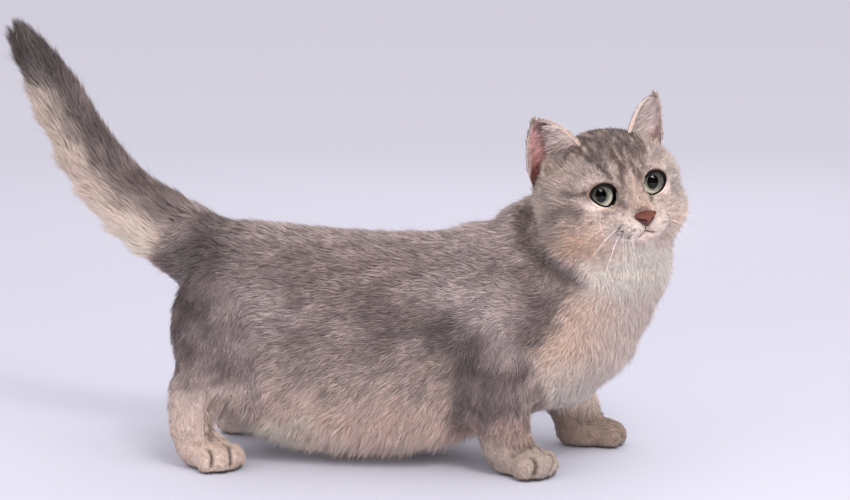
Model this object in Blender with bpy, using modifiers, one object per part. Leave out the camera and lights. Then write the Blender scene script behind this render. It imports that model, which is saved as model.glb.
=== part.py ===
"""A munchkin cat at life size, standing on its short legs with the head turned to its right and the tail up.

Units are metres. The cat faces +X, its left side is +Y and the floor it stands on is Z = 0.
The flesh is modelled whole, as round masses that are fused and smoothed, and is then parted with thin cuts.
"""
import math
import random

import bmesh
import bpy
from mathutils import Matrix, Vector
from mathutils.bvhtree import BVHTree

GAP = 0.0003
VOXEL = 0.0020
FLESH_TRIANGLES = 4600

# The trunk, nose to tail: where each named section stands, its top, its underside and its half width.
TRUNK = {
    "rump end": (-0.180, 0.152, 0.080, 0.034),
    "rump": (-0.164, 0.175, 0.048, 0.054),
    "hips": (-0.130, 0.178, 0.022, 0.068),
    "loin": (-0.085, 0.1745, 0.0095, 0.0735),
    "belly": (-0.040, 0.172, 0.0070, 0.0755),
    "ribs": (0.010, 0.173, 0.0130, 0.0735),
    "withers": (0.050, 0.183, 0.026, 0.069),
    "brisket": (0.088, 0.180, 0.040, 0.062),
    "breast": (0.122, 0.160, 0.056, 0.051),
    "breast end": (0.146, 0.136, 0.080, 0.032),
}
TRUNK_SQUARENESS = 2.25
TRUNK_SAG = 0.07

# The neck and breast masses: centre and half sizes.
NECK_MASSES = {
    "throat": ((0.127, -0.006, 0.154), (0.060, 0.051, 0.050)),
    "breast": ((0.098, 0.000, 0.106), (0.066, 0.058, 0.054)),
    "keel": ((0.088, 0.000, 0.074), (0.050, 0.048, 0.034)),
    "nape": ((0.090, 0.006, 0.163), (0.043, 0.046, 0.040)),
    "bib": ((0.114, -0.003, 0.128), (0.061, 0.052, 0.048)),
}

# The head: its middle, and how far it is turned to the cat's right, raised and tilted.
HEAD_MIDDLE = Vector((0.1360, -0.0130, 0.2070))
HEAD_TURN = math.radians(62.5)
HEAD_RAISE = math.radians(7.0)
HEAD_TILT = math.radians(11.4)
HEAD_REACH = 0.0655
EYE_SPREAD = 0.0208
EYE_FORWARD = 0.0272
EYE_RADIUS = 0.0118
LID_THICKNESS = 0.0022
LID_OPENING = (0.0107, 0.0089)
LID_SLANT = 0.16
LID_POINT = 0.22
NOSE_TIP = Vector((0.0595, 0.0, -0.0205))
NOSE_HALF = (0.0056, 0.0086, 0.0060)

# The ears, on the left side of the head, in the head's own axes: forward, left, up.
EAR_INNER_ROOT = Vector((0.014, 0.0195, 0.036))
EAR_OUTER_ROOT = Vector((-0.008, 0.054, 0.022))
EAR_TIP = Vector((0.010, 0.0495, 0.0645))
EAR_CUP = 0.017
EAR_WALL = 0.0020
EAR_HOLLOW = (0.0070, 0.0375, 0.0285)
EAR_HOLLOW_HALF = (0.0100, 0.0125, 0.0110)

# The legs: half lengths and places. The near side is the cat's right.
HIND_PAW = {-1: Vector((-0.153, -0.058, 0)), 1: Vector((-0.150, 0.056, 0))}
FORE_PAW = {-1: Vector((0.077, -0.048, 0)), 1: Vector((0.121, 0.052, 0))}
HIND_HEADING = {-1: math.radians(-42), 1: math.radians(14)}
FORE_HEADING = {-1: math.radians(-40), 1: math.radians(6)}
PAW_LENGTH = 0.056
PAW_WIDTH = 0.043
PAW_HEIGHT = 0.027
TOE_COUNT = 4
FLAT_DEPTH = 0.0012
SIDE_NAMES = {-1: "right", 1: "left"}

# The tail's middle line from root to tip, each with the half width of its brush.
TAIL_LINE = (
    ((-0.165, 0.000, 0.150), 0.030),
    ((-0.190, 0.000, 0.166), 0.029),
    ((-0.216, 0.001, 0.182), 0.0265),
    ((-0.240, 0.002, 0.203), 0.0245),
    ((-0.261, 0.004, 0.230), 0.0225),
    ((-0.277, 0.006, 0.258), 0.0205),
    ((-0.292, 0.008, 0.285), 0.0175),
    ((-0.306, 0.009, 0.308), 0.0130),
    ((-0.3145, 0.009, 0.3215), 0.0085),
)
TAIL_CUTS = (1.0, 2.9, 4.6, 6.2)
TAIL_NAMES = ("tail_root", "tail_middle", "tail_upper", "tail_tip")
TAIL_REACH = 0.10
BODY_REACH = 0.50

# The locks of the longer coat, on the belly's fringe and the tail's brush. LOCK_SHAPE gives places along a
# lock, with its share of the full width, thickness and lift there.
LOCK_SEED = 7
LOCK_SINK = 0.0030
LOCK_FLOOR = 0.0042
LOCK_EDGE_FLOOR = 0.0032
LOCK_THICKNESS = 0.0034
LOCK_SHAPE = ((0.0, 0.80, 1.0, 0.0), (0.36, 1.0, 0.85, 0.75), (0.72, 0.66, 0.50, 1.0))
FRINGE_ROWS = ((60, 0.030, 0.0210), (37, 0.028, 0.0200))
FRINGE_SPAN = (-0.108, 0.026)
FRINGE_STEP = 0.0179
TAIL_LOCK_ANGLES = (-81, -27, 27, 81)
TAIL_LOCK_STARTS = (1.10, 1.90, 2.97, 3.68, 4.68, 5.33, 6.28, 7.00)
TAIL_LOCK_SIZE = (0.0265, 0.0220)

COLOURS = {
    "coat": (0.36, 0.31, 0.28, 1),
    "cream": (0.66, 0.55, 0.46, 1),
    "eye": (0.34, 0.42, 0.33, 1),
    "nose": (0.36, 0.13, 0.10, 1),
    "ear": (0.48, 0.36, 0.33, 1),
}


def clear_scene():
    for obj in list(bpy.data.objects):
        bpy.data.objects.remove(obj, do_unlink=True)


def new_material(name, roughness):
    made = bpy.data.materials.new(name)
    made.use_nodes = True
    shader = made.node_tree.nodes["Principled BSDF"]
    shader.inputs["Base Color"].default_value = COLOURS[name]
    shader.inputs["Roughness"].default_value = roughness
    return made


def new_object(name, bm):
    """A mesh object holding what the bmesh holds, its faces pointing out."""
    bmesh.ops.recalc_face_normals(bm, faces=bm.faces)
    mesh = bpy.data.meshes.new(name)
    bm.to_mesh(mesh)
    bm.free()
    made = bpy.data.objects.new(name, mesh)
    bpy.context.scene.collection.objects.link(made)
    return made


def ellipsoid(centre, half, turn=None, detail=3):
    """A ball of three half sizes. turn is a rotation that its axes take."""
    bm = bmesh.new()
    bmesh.ops.create_icosphere(bm, subdivisions=detail, radius=1.0)
    turn = turn if turn is not None else Matrix.Identity(3)
    place = Matrix.Translation(Vector(centre)) @ turn.to_4x4() @ Matrix.Diagonal((*half, 1.0))
    bmesh.ops.transform(bm, matrix=place, verts=bm.verts)
    return new_object("mass", bm)


def block(centre, half, turn=None):
    """A box of three half sizes, turned about its centre."""
    bm = bmesh.new()
    bmesh.ops.create_cube(bm, size=2.0)
    turn = turn if turn is not None else Matrix.Identity(3)
    place = Matrix.Translation(Vector(centre)) @ turn.to_4x4() @ Matrix.Diagonal((*half, 1.0))
    bmesh.ops.transform(bm, matrix=place, verts=bm.verts)
    return new_object("block", bm)


def superellipse(angle, power):
    """A point of the unit outline that is an ellipse at power 2 and squarer above it."""
    return tuple(math.copysign(abs(c) ** (2 / power), c) for c in (math.cos(angle), math.sin(angle)))


def loft(rings, ends):
    """Closed skin over rings of equal count, with a pole at each end."""
    bm = bmesh.new()
    loops = [[bm.verts.new(p) for p in ring] for ring in rings]
    count = len(rings[0])
    for low, high in zip(loops, loops[1:]):
        for i in range(count):
            j = (i + 1) % count
            bm.faces.new((low[i], low[j], high[j], high[i]))
    for loop, end in zip((loops[0], loops[-1]), ends):
        pole = bm.verts.new(end)
        for i in range(count):
            bm.faces.new((loop[i], loop[(i + 1) % count], pole))
    return new_object("loft", bm)


def smooth_between(values, at):
    """Catmull-Rom reading of a list of numbers or vectors at a fractional index."""
    i = min(int(at), len(values) - 2)
    t = at - i
    a, b, c, d = (values[max(0, min(len(values) - 1, i + k))] for k in (-1, 0, 1, 2))
    return 0.5 * (b * 2 + (c - a) * t + (a * 2 - b * 5 + c * 4 - d) * t * t + (b * 3 - a - c * 3 + d) * t ** 3)


def trunk_mass(steps=4, sides=28):
    """The trunk, lofted through its named sections, each a squarish oval that is widest below its middle."""
    sections = list(TRUNK.values())
    columns = [[s[k] for s in sections] for k in range(4)]
    rings = []
    for n in range((len(sections) - 1) * steps + 1):
        x, top, bottom, half_width = (smooth_between(c, n / steps) for c in columns)
        ring = []
        for i in range(sides):
            across, up = superellipse(2 * math.pi * i / sides, TRUNK_SQUARENESS)
            ring.append((x, half_width * across * (1 - TRUNK_SAG * up), (top + bottom) / 2 + up * (top - bottom) / 2))
        rings.append(ring)
    middles = [(s[1] + s[2]) / 2 for s in (sections[0], sections[-1])]
    ends = ((sections[0][0] - 0.008, 0, middles[0]), (sections[-1][0] + 0.010, 0, middles[1]))
    return loft(rings, ends)


def limb(stations, steps=3, sides=18, across=Vector((0, 1, 0))):
    """A limb of round or oval section. A station is its middle, its half width along across and its half depth."""
    middles = [Vector(s[0]) for s in stations]
    widths = [s[1] for s in stations]
    depths = [s[2] for s in stations]
    total = (len(stations) - 1) * steps
    line = [smooth_between(middles, n / steps) for n in range(total + 1)]
    rings = []
    for n, middle in enumerate(line):
        along = (line[min(n + 1, total)] - line[max(n - 1, 0)]).normalized()
        side = (across - along * across.dot(along)).normalized()
        front = side.cross(along)
        width, depth = smooth_between(widths, n / steps), smooth_between(depths, n / steps)
        ring = []
        for i in range(sides):
            angle = 2 * math.pi * i / sides
            ring.append(middle + side * width * math.cos(angle) + front * depth * math.sin(angle))
        rings.append(ring)
    first, last = (line[0] - line[1]).normalized(), (line[-1] - line[-2]).normalized()
    return loft(rings, (line[0] + first * widths[0] * 0.5, line[-1] + last * widths[-1] * 0.5))


def head_axes():
    """The head's own axes as a matrix: forward, left and up, with the head's middle as origin."""
    forward = Vector((math.cos(HEAD_TURN) * math.cos(HEAD_RAISE), -math.sin(HEAD_TURN) * math.cos(HEAD_RAISE),
                      math.sin(HEAD_RAISE)))
    left = Vector((0, 0, 1)).cross(forward).normalized()
    up = forward.cross(left)
    tilt = Matrix.Rotation(HEAD_TILT, 3, forward)
    turn = Matrix((forward, tilt @ left, tilt @ up)).transposed()
    return Matrix.Translation(HEAD_MIDDLE) @ turn.to_4x4()


HEAD = head_axes()
HEAD_ROTATION = HEAD.to_3x3()


def in_head(forward, left, up):
    return HEAD @ Vector((forward, left, up))


def head_masses():
    """Skull, cheeks, brows, muzzle and chin of a round-headed cat."""
    middle_masses = (
        ((-0.004, 0, 0.006), (0.049, 0.049, 0.0395)),
        ((0.018, 0, -0.008), (0.030, 0.037, 0.034)),
        ((0.006, 0, -0.022), (0.042, 0.040, 0.028)),
        ((0.0385, 0, -0.0375), (0.0115, 0.0115, 0.0085)),
    )
    paired_masses = (
        ((0.000, 0.026, -0.019), (0.037, 0.032, 0.032)),
        ((-0.002, 0.030, 0.000), (0.034, 0.0275, 0.030)),
        ((0.0410, 0.0098, -0.0262), (0.0145, 0.0128, 0.0112)),
        ((0.0250, 0.0200, 0.0145), (0.0110, 0.0150, 0.0100)),
        ((-0.002, 0.0335, 0.0205), (0.019, 0.0145, 0.0125)),
    )
    made = [ellipsoid(in_head(*c), half, HEAD_ROTATION) for c, half in middle_masses]
    for side in (-1, 1):
        made += [ellipsoid(in_head(c[0], side * c[1], c[2]), half, HEAD_ROTATION) for c, half in paired_masses]
    bridge = (
        (in_head(0.026, 0, 0.014), 0.0125, 0.010),
        (in_head(0.038, 0, 0.001), 0.0095, 0.009),
        (in_head(0.0475, 0, -0.0115), 0.0080, 0.008),
        (in_head(0.0520, 0, -0.0185), 0.0075, 0.007),
    )
    made.append(limb(bridge, across=HEAD_ROTATION @ Vector((0, 1, 0))))
    return made


def paw_masses(place, heading):
    """A rounded paw: the foot, and toes fanned across its front."""
    turn = Matrix.Rotation(heading, 3, "Z")
    length, height = PAW_LENGTH, PAW_HEIGHT

    def at(along, across, up):
        return place + turn @ Vector((along, across, up))

    made = [ellipsoid(at(-0.004, 0, height * 0.44), (length * 0.42, PAW_WIDTH * 0.45, height * 0.56), turn)]
    half_toe = PAW_WIDTH / TOE_COUNT * 0.72
    for n in range(TOE_COUNT):
        offset = (n - (TOE_COUNT - 1) / 2) / (TOE_COUNT / 2)
        along = length * (0.34 - 0.16 * offset * offset)
        fan = turn @ Matrix.Rotation(offset * 0.35, 3, "Z")
        middle = at(along, offset * PAW_WIDTH * 0.385, height * 0.36)
        made.append(ellipsoid(middle, (length * 0.21, half_toe, height * 0.42), fan))
    return made


def fore_leg(side):
    """Short fore leg: shoulder, upper arm and the thick straight shank down to the paw."""
    paw = FORE_PAW[side]
    shoulder = Vector((0.058, side * 0.046, 0.100))
    elbow = Vector((0.045 + (paw.x - 0.070) * 0.4, side * 0.052, 0.058))
    made = [ellipsoid(shoulder, (0.042, 0.0265, 0.050), Matrix.Rotation(0.35, 3, "Y"))]
    stations = (
        (shoulder + Vector((0, 0, -0.010)), 0.024, 0.036),
        ((elbow + paw) / 2 + Vector((-0.004, side * 0.002, 0.034)), 0.0225, 0.0275),
        (paw + Vector((-0.012, 0, 0.033)), 0.0195, 0.0215),
        (paw + Vector((-0.008, 0, 0.016)), 0.0180, 0.0195),
    )
    made.append(limb(stations))
    return made + paw_masses(paw, FORE_HEADING[side])


def hind_leg(side):
    """Short hind leg: haunch, hock and the upright shank down to the paw."""
    paw = HIND_PAW[side]
    haunch = Vector((-0.145, side * 0.044, 0.098))
    made = [ellipsoid(haunch, (0.041, 0.028, 0.057), Matrix.Rotation(-0.12, 3, "Y"))]
    stations = (
        (haunch + Vector((0.006, side * 0.004, -0.020)), 0.024, 0.036),
        (Vector((-0.164, side * 0.054, 0.055)), 0.0205, 0.0230),
        (paw + Vector((-0.014, 0, 0.033)), 0.0170, 0.0170),
        (paw + Vector((-0.008, 0, 0.015)), 0.0165, 0.0170),
    )
    made.append(limb(stations))
    return made + paw_masses(paw, HIND_HEADING[side])


def tail_mass():
    return limb([(point, half, half * 1.06) for point, half in TAIL_LINE], sides=20)


def baked(obj):
    """The object's mesh with its modifiers applied, as the viewport evaluates it."""
    bpy.context.view_layer.update()
    graph = bpy.context.evaluated_depsgraph_get()
    mesh = bpy.data.meshes.new_from_object(obj.evaluated_get(graph))
    mesh.transform(obj.matrix_world)
    obj.modifiers.clear()
    obj.data = mesh
    obj.matrix_world = Matrix.Identity(4)
    return obj


def joined(objects):
    """One object that holds all of these meshes as loose shells."""
    bm = bmesh.new()
    for obj in objects:
        bm.from_mesh(obj.data)
        bpy.data.objects.remove(obj, do_unlink=True)
    return new_object("joined", bm)


def fused(objects):
    """The masses as one smooth closed surface with fewer faces where it is flat."""
    whole = joined(objects)
    remesh = whole.modifiers.new("Remesh", "REMESH")
    remesh.mode = "VOXEL"
    remesh.voxel_size = VOXEL
    smooth = whole.modifiers.new("Smooth", "SMOOTH")
    smooth.factor = 0.5
    smooth.iterations = 9
    baked(whole)
    thin = whole.modifiers.new("Decimate", "DECIMATE")
    thin.ratio = FLESH_TRIANGLES / (2 * len(whole.data.polygons))
    thin.use_collapse_triangulate = True
    return baked(whole)


def largest_shell(obj):
    """Keeps the largest closed surface of a mesh and drops loose scraps and sealed hollows."""
    bm = bmesh.new()
    bm.from_mesh(obj.data)
    bmesh.ops.remove_doubles(bm, verts=bm.verts, dist=1e-6)
    bm.verts.index_update()
    unseen = set(bm.faces)
    shells = []
    while unseen:
        queue, shell = [unseen.pop()], []
        while queue:
            face = queue.pop()
            shell.append(face)
            for edge in face.edges:
                for other in edge.link_faces:
                    if other in unseen:
                        unseen.discard(other)
                        queue.append(other)
        shells.append(shell)
    if len(shells) > 1:
        shells.sort(key=lambda faces: sum(f.calc_area() for f in faces))
        dropped = [f for shell in shells[:-1] for f in shell]
        bmesh.ops.delete(bm, geom=dropped, context="FACES")
    bmesh.ops.triangulate(bm, faces=bm.faces)
    bm.to_mesh(obj.data)
    bm.free()
    return obj


def boolean(obj, operation, others):
    """Cuts, joins or intersects obj with a collection of closed meshes, and applies it."""
    group = bpy.data.collections.new("operands")
    bpy.context.scene.collection.children.link(group)
    for other in others:
        group.objects.link(other)
    cut = obj.modifiers.new("Boolean", "BOOLEAN")
    cut.operation = operation
    cut.solver = "MANIFOLD"
    cut.operand_type = "COLLECTION"
    cut.collection = group
    baked(obj)
    for other in others:
        bpy.data.objects.remove(other, do_unlink=True)
    bpy.data.collections.remove(group)
    return largest_shell(obj)


def duplicate(obj, name):
    made = bpy.data.objects.new(name, obj.data.copy())
    bpy.context.scene.collection.objects.link(made)
    return made


def part_off(rest, name, make_cutter):
    """Parts one node from the rest. make_cutter(grow) makes its region, grown by that much on all sides."""
    piece = duplicate(rest, name)
    boolean(piece, "INTERSECT", [make_cutter(0.0)])
    boolean(rest, "DIFFERENCE", [make_cutter(GAP)])
    return piece


def half_space(point, normal, grow, reach):
    """A large box whose face passes through the point, lying on the side that the normal points to."""
    normal = Vector(normal).normalized()
    turn = normal.to_track_quat("Z", "Y").to_matrix()
    return block(Vector(point) + normal * (reach - grow), (reach, reach, reach), turn)


def along_tail(place):
    """A point of the tail's middle line at a fractional index, with the way to the tip there."""
    points = [Vector(p) for p, _ in TAIL_LINE]
    way = smooth_between(points, place + 0.1) - smooth_between(points, place - 0.1)
    return smooth_between(points, place), way.normalized()


def tail_cutter(place, grow):
    """The tail from one place on its middle line to its tip."""
    point, way = along_tail(place)
    return half_space(point, way, grow, TAIL_REACH)


def paw_cutter(place, heading, grow):
    """The region of one paw, below its ankle."""
    turn = Matrix.Rotation(heading, 3, "Z")
    centre = place + turn @ Vector((0.002, 0, 0.004))
    return block(centre, (0.040 + grow, 0.030 + grow, 0.022 + grow), turn @ Matrix.Rotation(0.20, 3, "Y"))


def fore_leg_cutter(side, grow):
    paw = FORE_PAW[side]
    top = Vector((0.060, side * 0.056, 0.088))
    middle = (paw + Vector((-0.010, 0, 0.020)) + top) / 2
    tilt = (top - paw).to_track_quat("Z", "Y").to_matrix()
    return ellipsoid(middle, (0.038 + grow, 0.036 + grow, 0.070 + grow), tilt)


def hind_leg_cutter(side, grow):
    return ellipsoid((-0.158, side * 0.060, 0.072), (0.050 + grow, 0.034 + grow, 0.082 + grow))


def nose_pad(grow):
    """The nose leather: wide at its top edge and narrow below."""
    bm = bmesh.new()
    bmesh.ops.create_icosphere(bm, subdivisions=3, radius=1.0)
    for vert in bm.verts:
        narrow = 0.62 + 0.38 * min(1.0, max(0.0, 0.5 + vert.co.z * 0.9))
        vert.co.y *= narrow
    half = [h + grow for h in NOSE_HALF]
    lean = Matrix.Rotation(0.30, 3, "Y")
    place = HEAD @ Matrix.Translation(NOSE_TIP - Vector((NOSE_HALF[0], 0, 0))) @ lean.to_4x4()
    bmesh.ops.transform(bm, matrix=place @ Matrix.Diagonal((*half, 1.0)), verts=bm.verts)
    return new_object("nose", bm)


def on_head_surface(tree, left, up):
    """Where a line straight back from in front of the face meets the head."""
    start = in_head(0.12, left, up)
    hit = tree.ray_cast(start, HEAD_ROTATION @ Vector((-1, 0, 0)))[0]
    return hit if hit is not None else in_head(0.03, left, up)


def mouth_cutters(head):
    """The groove from nose to lip, and the line of the mouth curving back on each side."""
    bm = bmesh.new()
    bm.from_mesh(head.data)
    tree = BVHTree.FromBMesh(bm)
    bm.free()
    across = HEAD_ROTATION @ Vector((1, 0, 0))
    lip = (0.0, -0.0315)
    runs = [[(0.0, -0.0235), (0.0, -0.0275), lip]]
    for side in (-1, 1):
        run = [lip, (0.0045, -0.0342), (0.0095, -0.0362), (0.0150, -0.0368), (0.0200, -0.0350)]
        runs.append([(side * left, up) for left, up in run])
    made = []
    for run in runs:
        points = [on_head_surface(tree, left, up) for left, up in run]
        made.append(limb([(p, 0.0010, 0.0014) for p in points], steps=1, sides=6, across=across))
    return made


def eye_place(side):
    return in_head(EYE_FORWARD, side * EYE_SPREAD, 0.0)


def eye_ball(side, grow):
    return ellipsoid(eye_place(side), [EYE_RADIUS + grow] * 3, HEAD_ROTATION)


def lid_opening(side):
    """What is cut from the lids: an oval with pointed corners that slants down to the inner one."""
    bm = bmesh.new()
    bmesh.ops.create_cone(bm, cap_ends=True, segments=24, radius1=1.0, radius2=1.0, depth=1.0)
    wide, high = LID_OPENING
    for vert in bm.verts:
        out = vert.co.x * wide
        up = vert.co.y * abs(vert.co.y) ** LID_POINT * high
        vert.co = Vector((EYE_RADIUS * (1.3 + 0.85 * vert.co.z), side * out, up + LID_SLANT * out))
    bmesh.ops.transform(bm, matrix=Matrix.Translation(eye_place(side)) @ HEAD_ROTATION.to_4x4(), verts=bm.verts)
    return new_object("opening", bm)


def ear_edge(root, side_push, height):
    """A point on one edge of the left ear, bowed outwards between its root and the tip."""
    knee = root.lerp(EAR_TIP, 0.55) + side_push
    low, high = root.lerp(knee, height), knee.lerp(EAR_TIP, height)
    return low.lerp(high, height)


def ear_shell(side, rows=8, columns=9):
    """One ear: a cupped sheet from the sunk root to the tip, given a wall."""
    back = Vector((-0.86, 0.10, -0.20)).normalized()
    bm = bmesh.new()
    grid = []
    for r in range(rows):
        height = -0.30 + 1.27 * r / (rows - 1)
        reach = max(0.0, height)
        inner = ear_edge(EAR_INNER_ROOT, Vector((0.0, -0.0045, 0.0050)), reach)
        outer = ear_edge(EAR_OUTER_ROOT, Vector((-0.002, 0.0050, 0.0000)), reach)
        sunk = (EAR_INNER_ROOT + EAR_OUTER_ROOT) / 2 - EAR_TIP
        drop = sunk * max(0.0, -height)
        line = []
        for c in range(columns):
            share = c / (columns - 1)
            bow = 4 * share * (1 - share)
            depth = EAR_CUP * (1 - reach) ** 0.75 * bow ** 0.8
            point = inner.lerp(outer, share) + back * depth + drop
            line.append(bm.verts.new(in_head(point.x, side * point.y, point.z)))
        grid.append(line)
    for low, high in zip(grid, grid[1:]):
        for c in range(columns - 1):
            bm.faces.new((low[c], low[c + 1], high[c + 1], high[c]))
    made = new_object("ear", bm)
    wall = made.modifiers.new("Solidify", "SOLIDIFY")
    wall.thickness = EAR_WALL
    wall.offset = 0
    wall.use_even_offset = True
    return baked(made)


def grown(obj, by):
    """A copy of a mesh pushed out along its normals."""
    copy = duplicate(obj, "grown")
    push = copy.modifiers.new("Displace", "DISPLACE")
    push.strength = by
    push.mid_level = 0
    return baked(copy)


def lock(root, out, lie, length, width, stand, sway):
    """A flat tapered lock: sunk at its root, bent over to follow the lie, with its tip swayed to one side."""
    side = out.cross(lie).normalized()

    def at(share, lift):
        place = root + lie * length * share + out * (stand * lift - LOCK_SINK * (1 - lift))
        place += side * sway * share * share
        return Vector((place.x, place.y, max(place.z, LOCK_FLOOR)))

    rings = []
    for share, wide, thick, lift in LOCK_SHAPE:
        middle = at(share, lift)
        half_side, half_out = side * width * wide / 2, out * LOCK_THICKNESS * thick / 2
        ring = [middle + half_side, middle + half_out, middle - half_side, middle - half_out]
        rings.append([Vector((p.x, p.y, max(p.z, LOCK_EDGE_FLOOR))) for p in ring])
    return loft(rings, (root - out * LOCK_SINK * 1.4 - lie * LOCK_SINK, at(1.0, 0.85)))


def rooted(tree, start, direction):
    """Where a line from inside the flesh leaves it, with the way out of the skin there."""
    hit, normal = tree.ray_cast(start, direction.normalized())[:2]
    return hit, normal if normal.dot(direction) > 0 else -normal


def along_skin(out, lie):
    """The lie of the coat, laid flat on the skin."""
    return (lie - out * lie.dot(out)).normalized()


def fringe_locks(tree, draw):
    """Two overlapping rows hanging along each side of the belly, swept back."""
    made = []
    count = round((FRINGE_SPAN[1] - FRINGE_SPAN[0]) / FRINGE_STEP)
    for side in (-1, 1):
        for row, (angle, length, width) in enumerate(FRINGE_ROWS):
            for n in range(count + 1):
                x = FRINGE_SPAN[0] + FRINGE_STEP * (n + 0.5 * (row % 2)) + draw.uniform(-0.002, 0.002)
                turn = math.radians(angle + draw.uniform(-4, 4))
                root, out = rooted(tree, Vector((x, 0, 0.070)), Vector((0, side * math.sin(turn), -math.cos(turn))))
                lie = along_skin(out, Vector((draw.uniform(-0.75, -0.45), 0, -1)))
                size = draw.uniform(0.85, 1.12)
                made.append(lock(root, out, lie, length * size, width * size, draw.uniform(0.0018, 0.0034),
                                 draw.uniform(-0.004, 0.004)))
    return made


def tail_locks(tree, draw):
    """Overlapping rings of locks round the lower side of the tail, pointing to its tip and clear of its cuts."""
    across = Vector((0, 1, 0))
    made = []
    for ring, start in enumerate(TAIL_LOCK_STARTS):
        middle, along = along_tail(start)
        under = along.cross(across).normalized()
        under = -under if under.x > 0 else under
        for angle in TAIL_LOCK_ANGLES:
            turn = math.radians(angle + draw.uniform(-6, 6) + (13 if ring % 2 else -13))
            root, out = rooted(tree, middle, under * math.cos(turn) + across * math.sin(turn))
            length, width = TAIL_LOCK_SIZE
            slim = min(1.0, smooth_between([half for _, half in TAIL_LINE], start) / TAIL_LINE[4][1] + 0.15)
            made.append(lock(root, out, along_skin(out, along), length * draw.uniform(0.9, 1.05) * slim,
                             width * slim, draw.uniform(0.0016, 0.0030), draw.uniform(-0.003, 0.003)))
    return made


def with_locks(flesh):
    """The flesh with its locks fused on."""
    bm = bmesh.new()
    bm.from_mesh(flesh.data)
    tree = BVHTree.FromBMesh(bm)
    bm.free()
    draw = random.Random(LOCK_SEED)
    locks = fringe_locks(tree, draw) + tail_locks(tree, draw)
    print(len(locks), "locks")
    return boolean(flesh, "UNION", locks)


def make_flesh():
    masses = [trunk_mass(), tail_mass()]
    masses += [ellipsoid(*mass) for mass in NECK_MASSES.values()]
    masses += head_masses()
    for side in (-1, 1):
        masses += fore_leg(side) + hind_leg(side)
    flesh = with_locks(fused(masses))
    floor = block((0, 0, FLAT_DEPTH - 0.1), (1, 1, 0.1))
    return boolean(flesh, "DIFFERENCE", [floor])


def part_flesh(flesh):
    """The named nodes of the flesh, each with a thin gap to what it grows from."""
    nodes = {}
    for name, place in zip(reversed(TAIL_NAMES), reversed(TAIL_CUTS)):
        nodes[name] = part_off(flesh, name, lambda grow, at=place: tail_cutter(at, grow))
    nodes["head"] = part_off(flesh, "head", lambda grow: ellipsoid(
        HEAD_MIDDLE, [HEAD_REACH + grow] * 3))
    nodes["neck"] = part_off(flesh, "neck", lambda grow: half_space(
        (0.100, 0, 0.134), (0.62, 0, 0.78), grow, BODY_REACH))
    for side, word in SIDE_NAMES.items():
        for kind, paws, headings, cutter in (("fore", FORE_PAW, FORE_HEADING, fore_leg_cutter),
                                             ("hind", HIND_PAW, HIND_HEADING, hind_leg_cutter)):
            paw_name, leg_name = f"{kind}paw_{word}", f"{kind}leg_{word}"
            nodes[paw_name] = part_off(flesh, paw_name, lambda grow, s=side, p=paws, h=headings: paw_cutter(
                p[s], h[s], grow))
            nodes[leg_name] = part_off(flesh, leg_name, lambda grow, s=side, c=cutter: c(s, grow))
    flesh.name = "torso"
    nodes["torso"] = flesh
    return nodes


def finish_head(nodes):
    """Ears, lids, eyes, nose and mouth."""
    head = nodes["head"]
    hollows = [ellipsoid(in_head(EAR_HOLLOW[0], side * EAR_HOLLOW[1], EAR_HOLLOW[2]), EAR_HOLLOW_HALF,
                         HEAD_ROTATION) for side in SIDE_NAMES]
    boolean(head, "DIFFERENCE", hollows)
    for side, word in SIDE_NAMES.items():
        ear = ear_shell(side)
        boolean(ear, "DIFFERENCE", [grown(head, GAP)])
        ear.name = f"ear_{word}"
        nodes[ear.name] = ear
    boolean(head, "UNION", [eye_ball(side, LID_THICKNESS) for side in SIDE_NAMES])
    boolean(head, "DIFFERENCE", mouth_cutters(head))
    sockets = [eye_ball(side, GAP) for side in SIDE_NAMES]
    boolean(head, "DIFFERENCE", sockets + [lid_opening(side) for side in SIDE_NAMES])
    boolean(head, "DIFFERENCE", [nose_pad(GAP)])
    nose = nose_pad(0.0)
    nostrils = []
    for side in (-1, 1):
        place = NOSE_TIP + Vector((-0.0018, side * 0.0040, -0.0006))
        turn = HEAD_ROTATION @ Matrix.Rotation(side * 0.6, 3, "Z")
        nostrils.append(ellipsoid(HEAD @ place, (0.0024, 0.0011, 0.0015), turn, detail=1))
        nostrils.append(ellipsoid(HEAD @ (place + Vector((-0.0016, side * 0.0024, 0.0006))),
                                  (0.0026, 0.0020, 0.0007), turn, detail=1))
    boolean(nose, "DIFFERENCE", nostrils)
    nose.name = "nose"
    nodes["nose"] = nose
    for side, word in SIDE_NAMES.items():
        eye = eye_ball(side, 0.0)
        eye.name = f"eye_{word}"
        nodes[eye.name] = eye


def rest_on_origin(nodes):
    """Moves the cat so that the origin is on the floor below the middle of its box."""
    corners = [v.co for obj in nodes.values() for v in obj.data.vertices]
    low = Vector(min(c[k] for c in corners) for k in range(3))
    high = Vector(max(c[k] for c in corners) for k in range(3))
    shift = Vector((-(low.x + high.x) / 2, -(low.y + high.y) / 2, -low.z))
    for obj in nodes.values():
        obj.data.transform(Matrix.Translation(shift))
    return shift


def main():
    clear_scene()
    materials = {name: new_material(name, 0.3 if name == "eye" else 0.85) for name in COLOURS}
    nodes = part_flesh(make_flesh())
    finish_head(nodes)
    shift = rest_on_origin(nodes)
    group = bpy.data.collections.new("munchkin_cat")
    bpy.context.scene.collection.children.link(group)
    for name, obj in nodes.items():
        bpy.context.scene.collection.objects.unlink(obj)
        group.objects.link(obj)
        finish = name.split("_")[0] if name.split("_")[0] in ("eye", "ear", "nose") else "coat"
        if "paw" in name:
            finish = "cream"
        obj.data.materials.clear()
        obj.data.materials.append(materials[finish])
        obj.data.shade_smooth()
        obj.data.set_sharp_from_angle(angle=math.radians(50))
        print(name, len(obj.data.polygons), "triangles")
    print("the origin was moved by", [round(-x, 5) for x in shift])


main()
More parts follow.
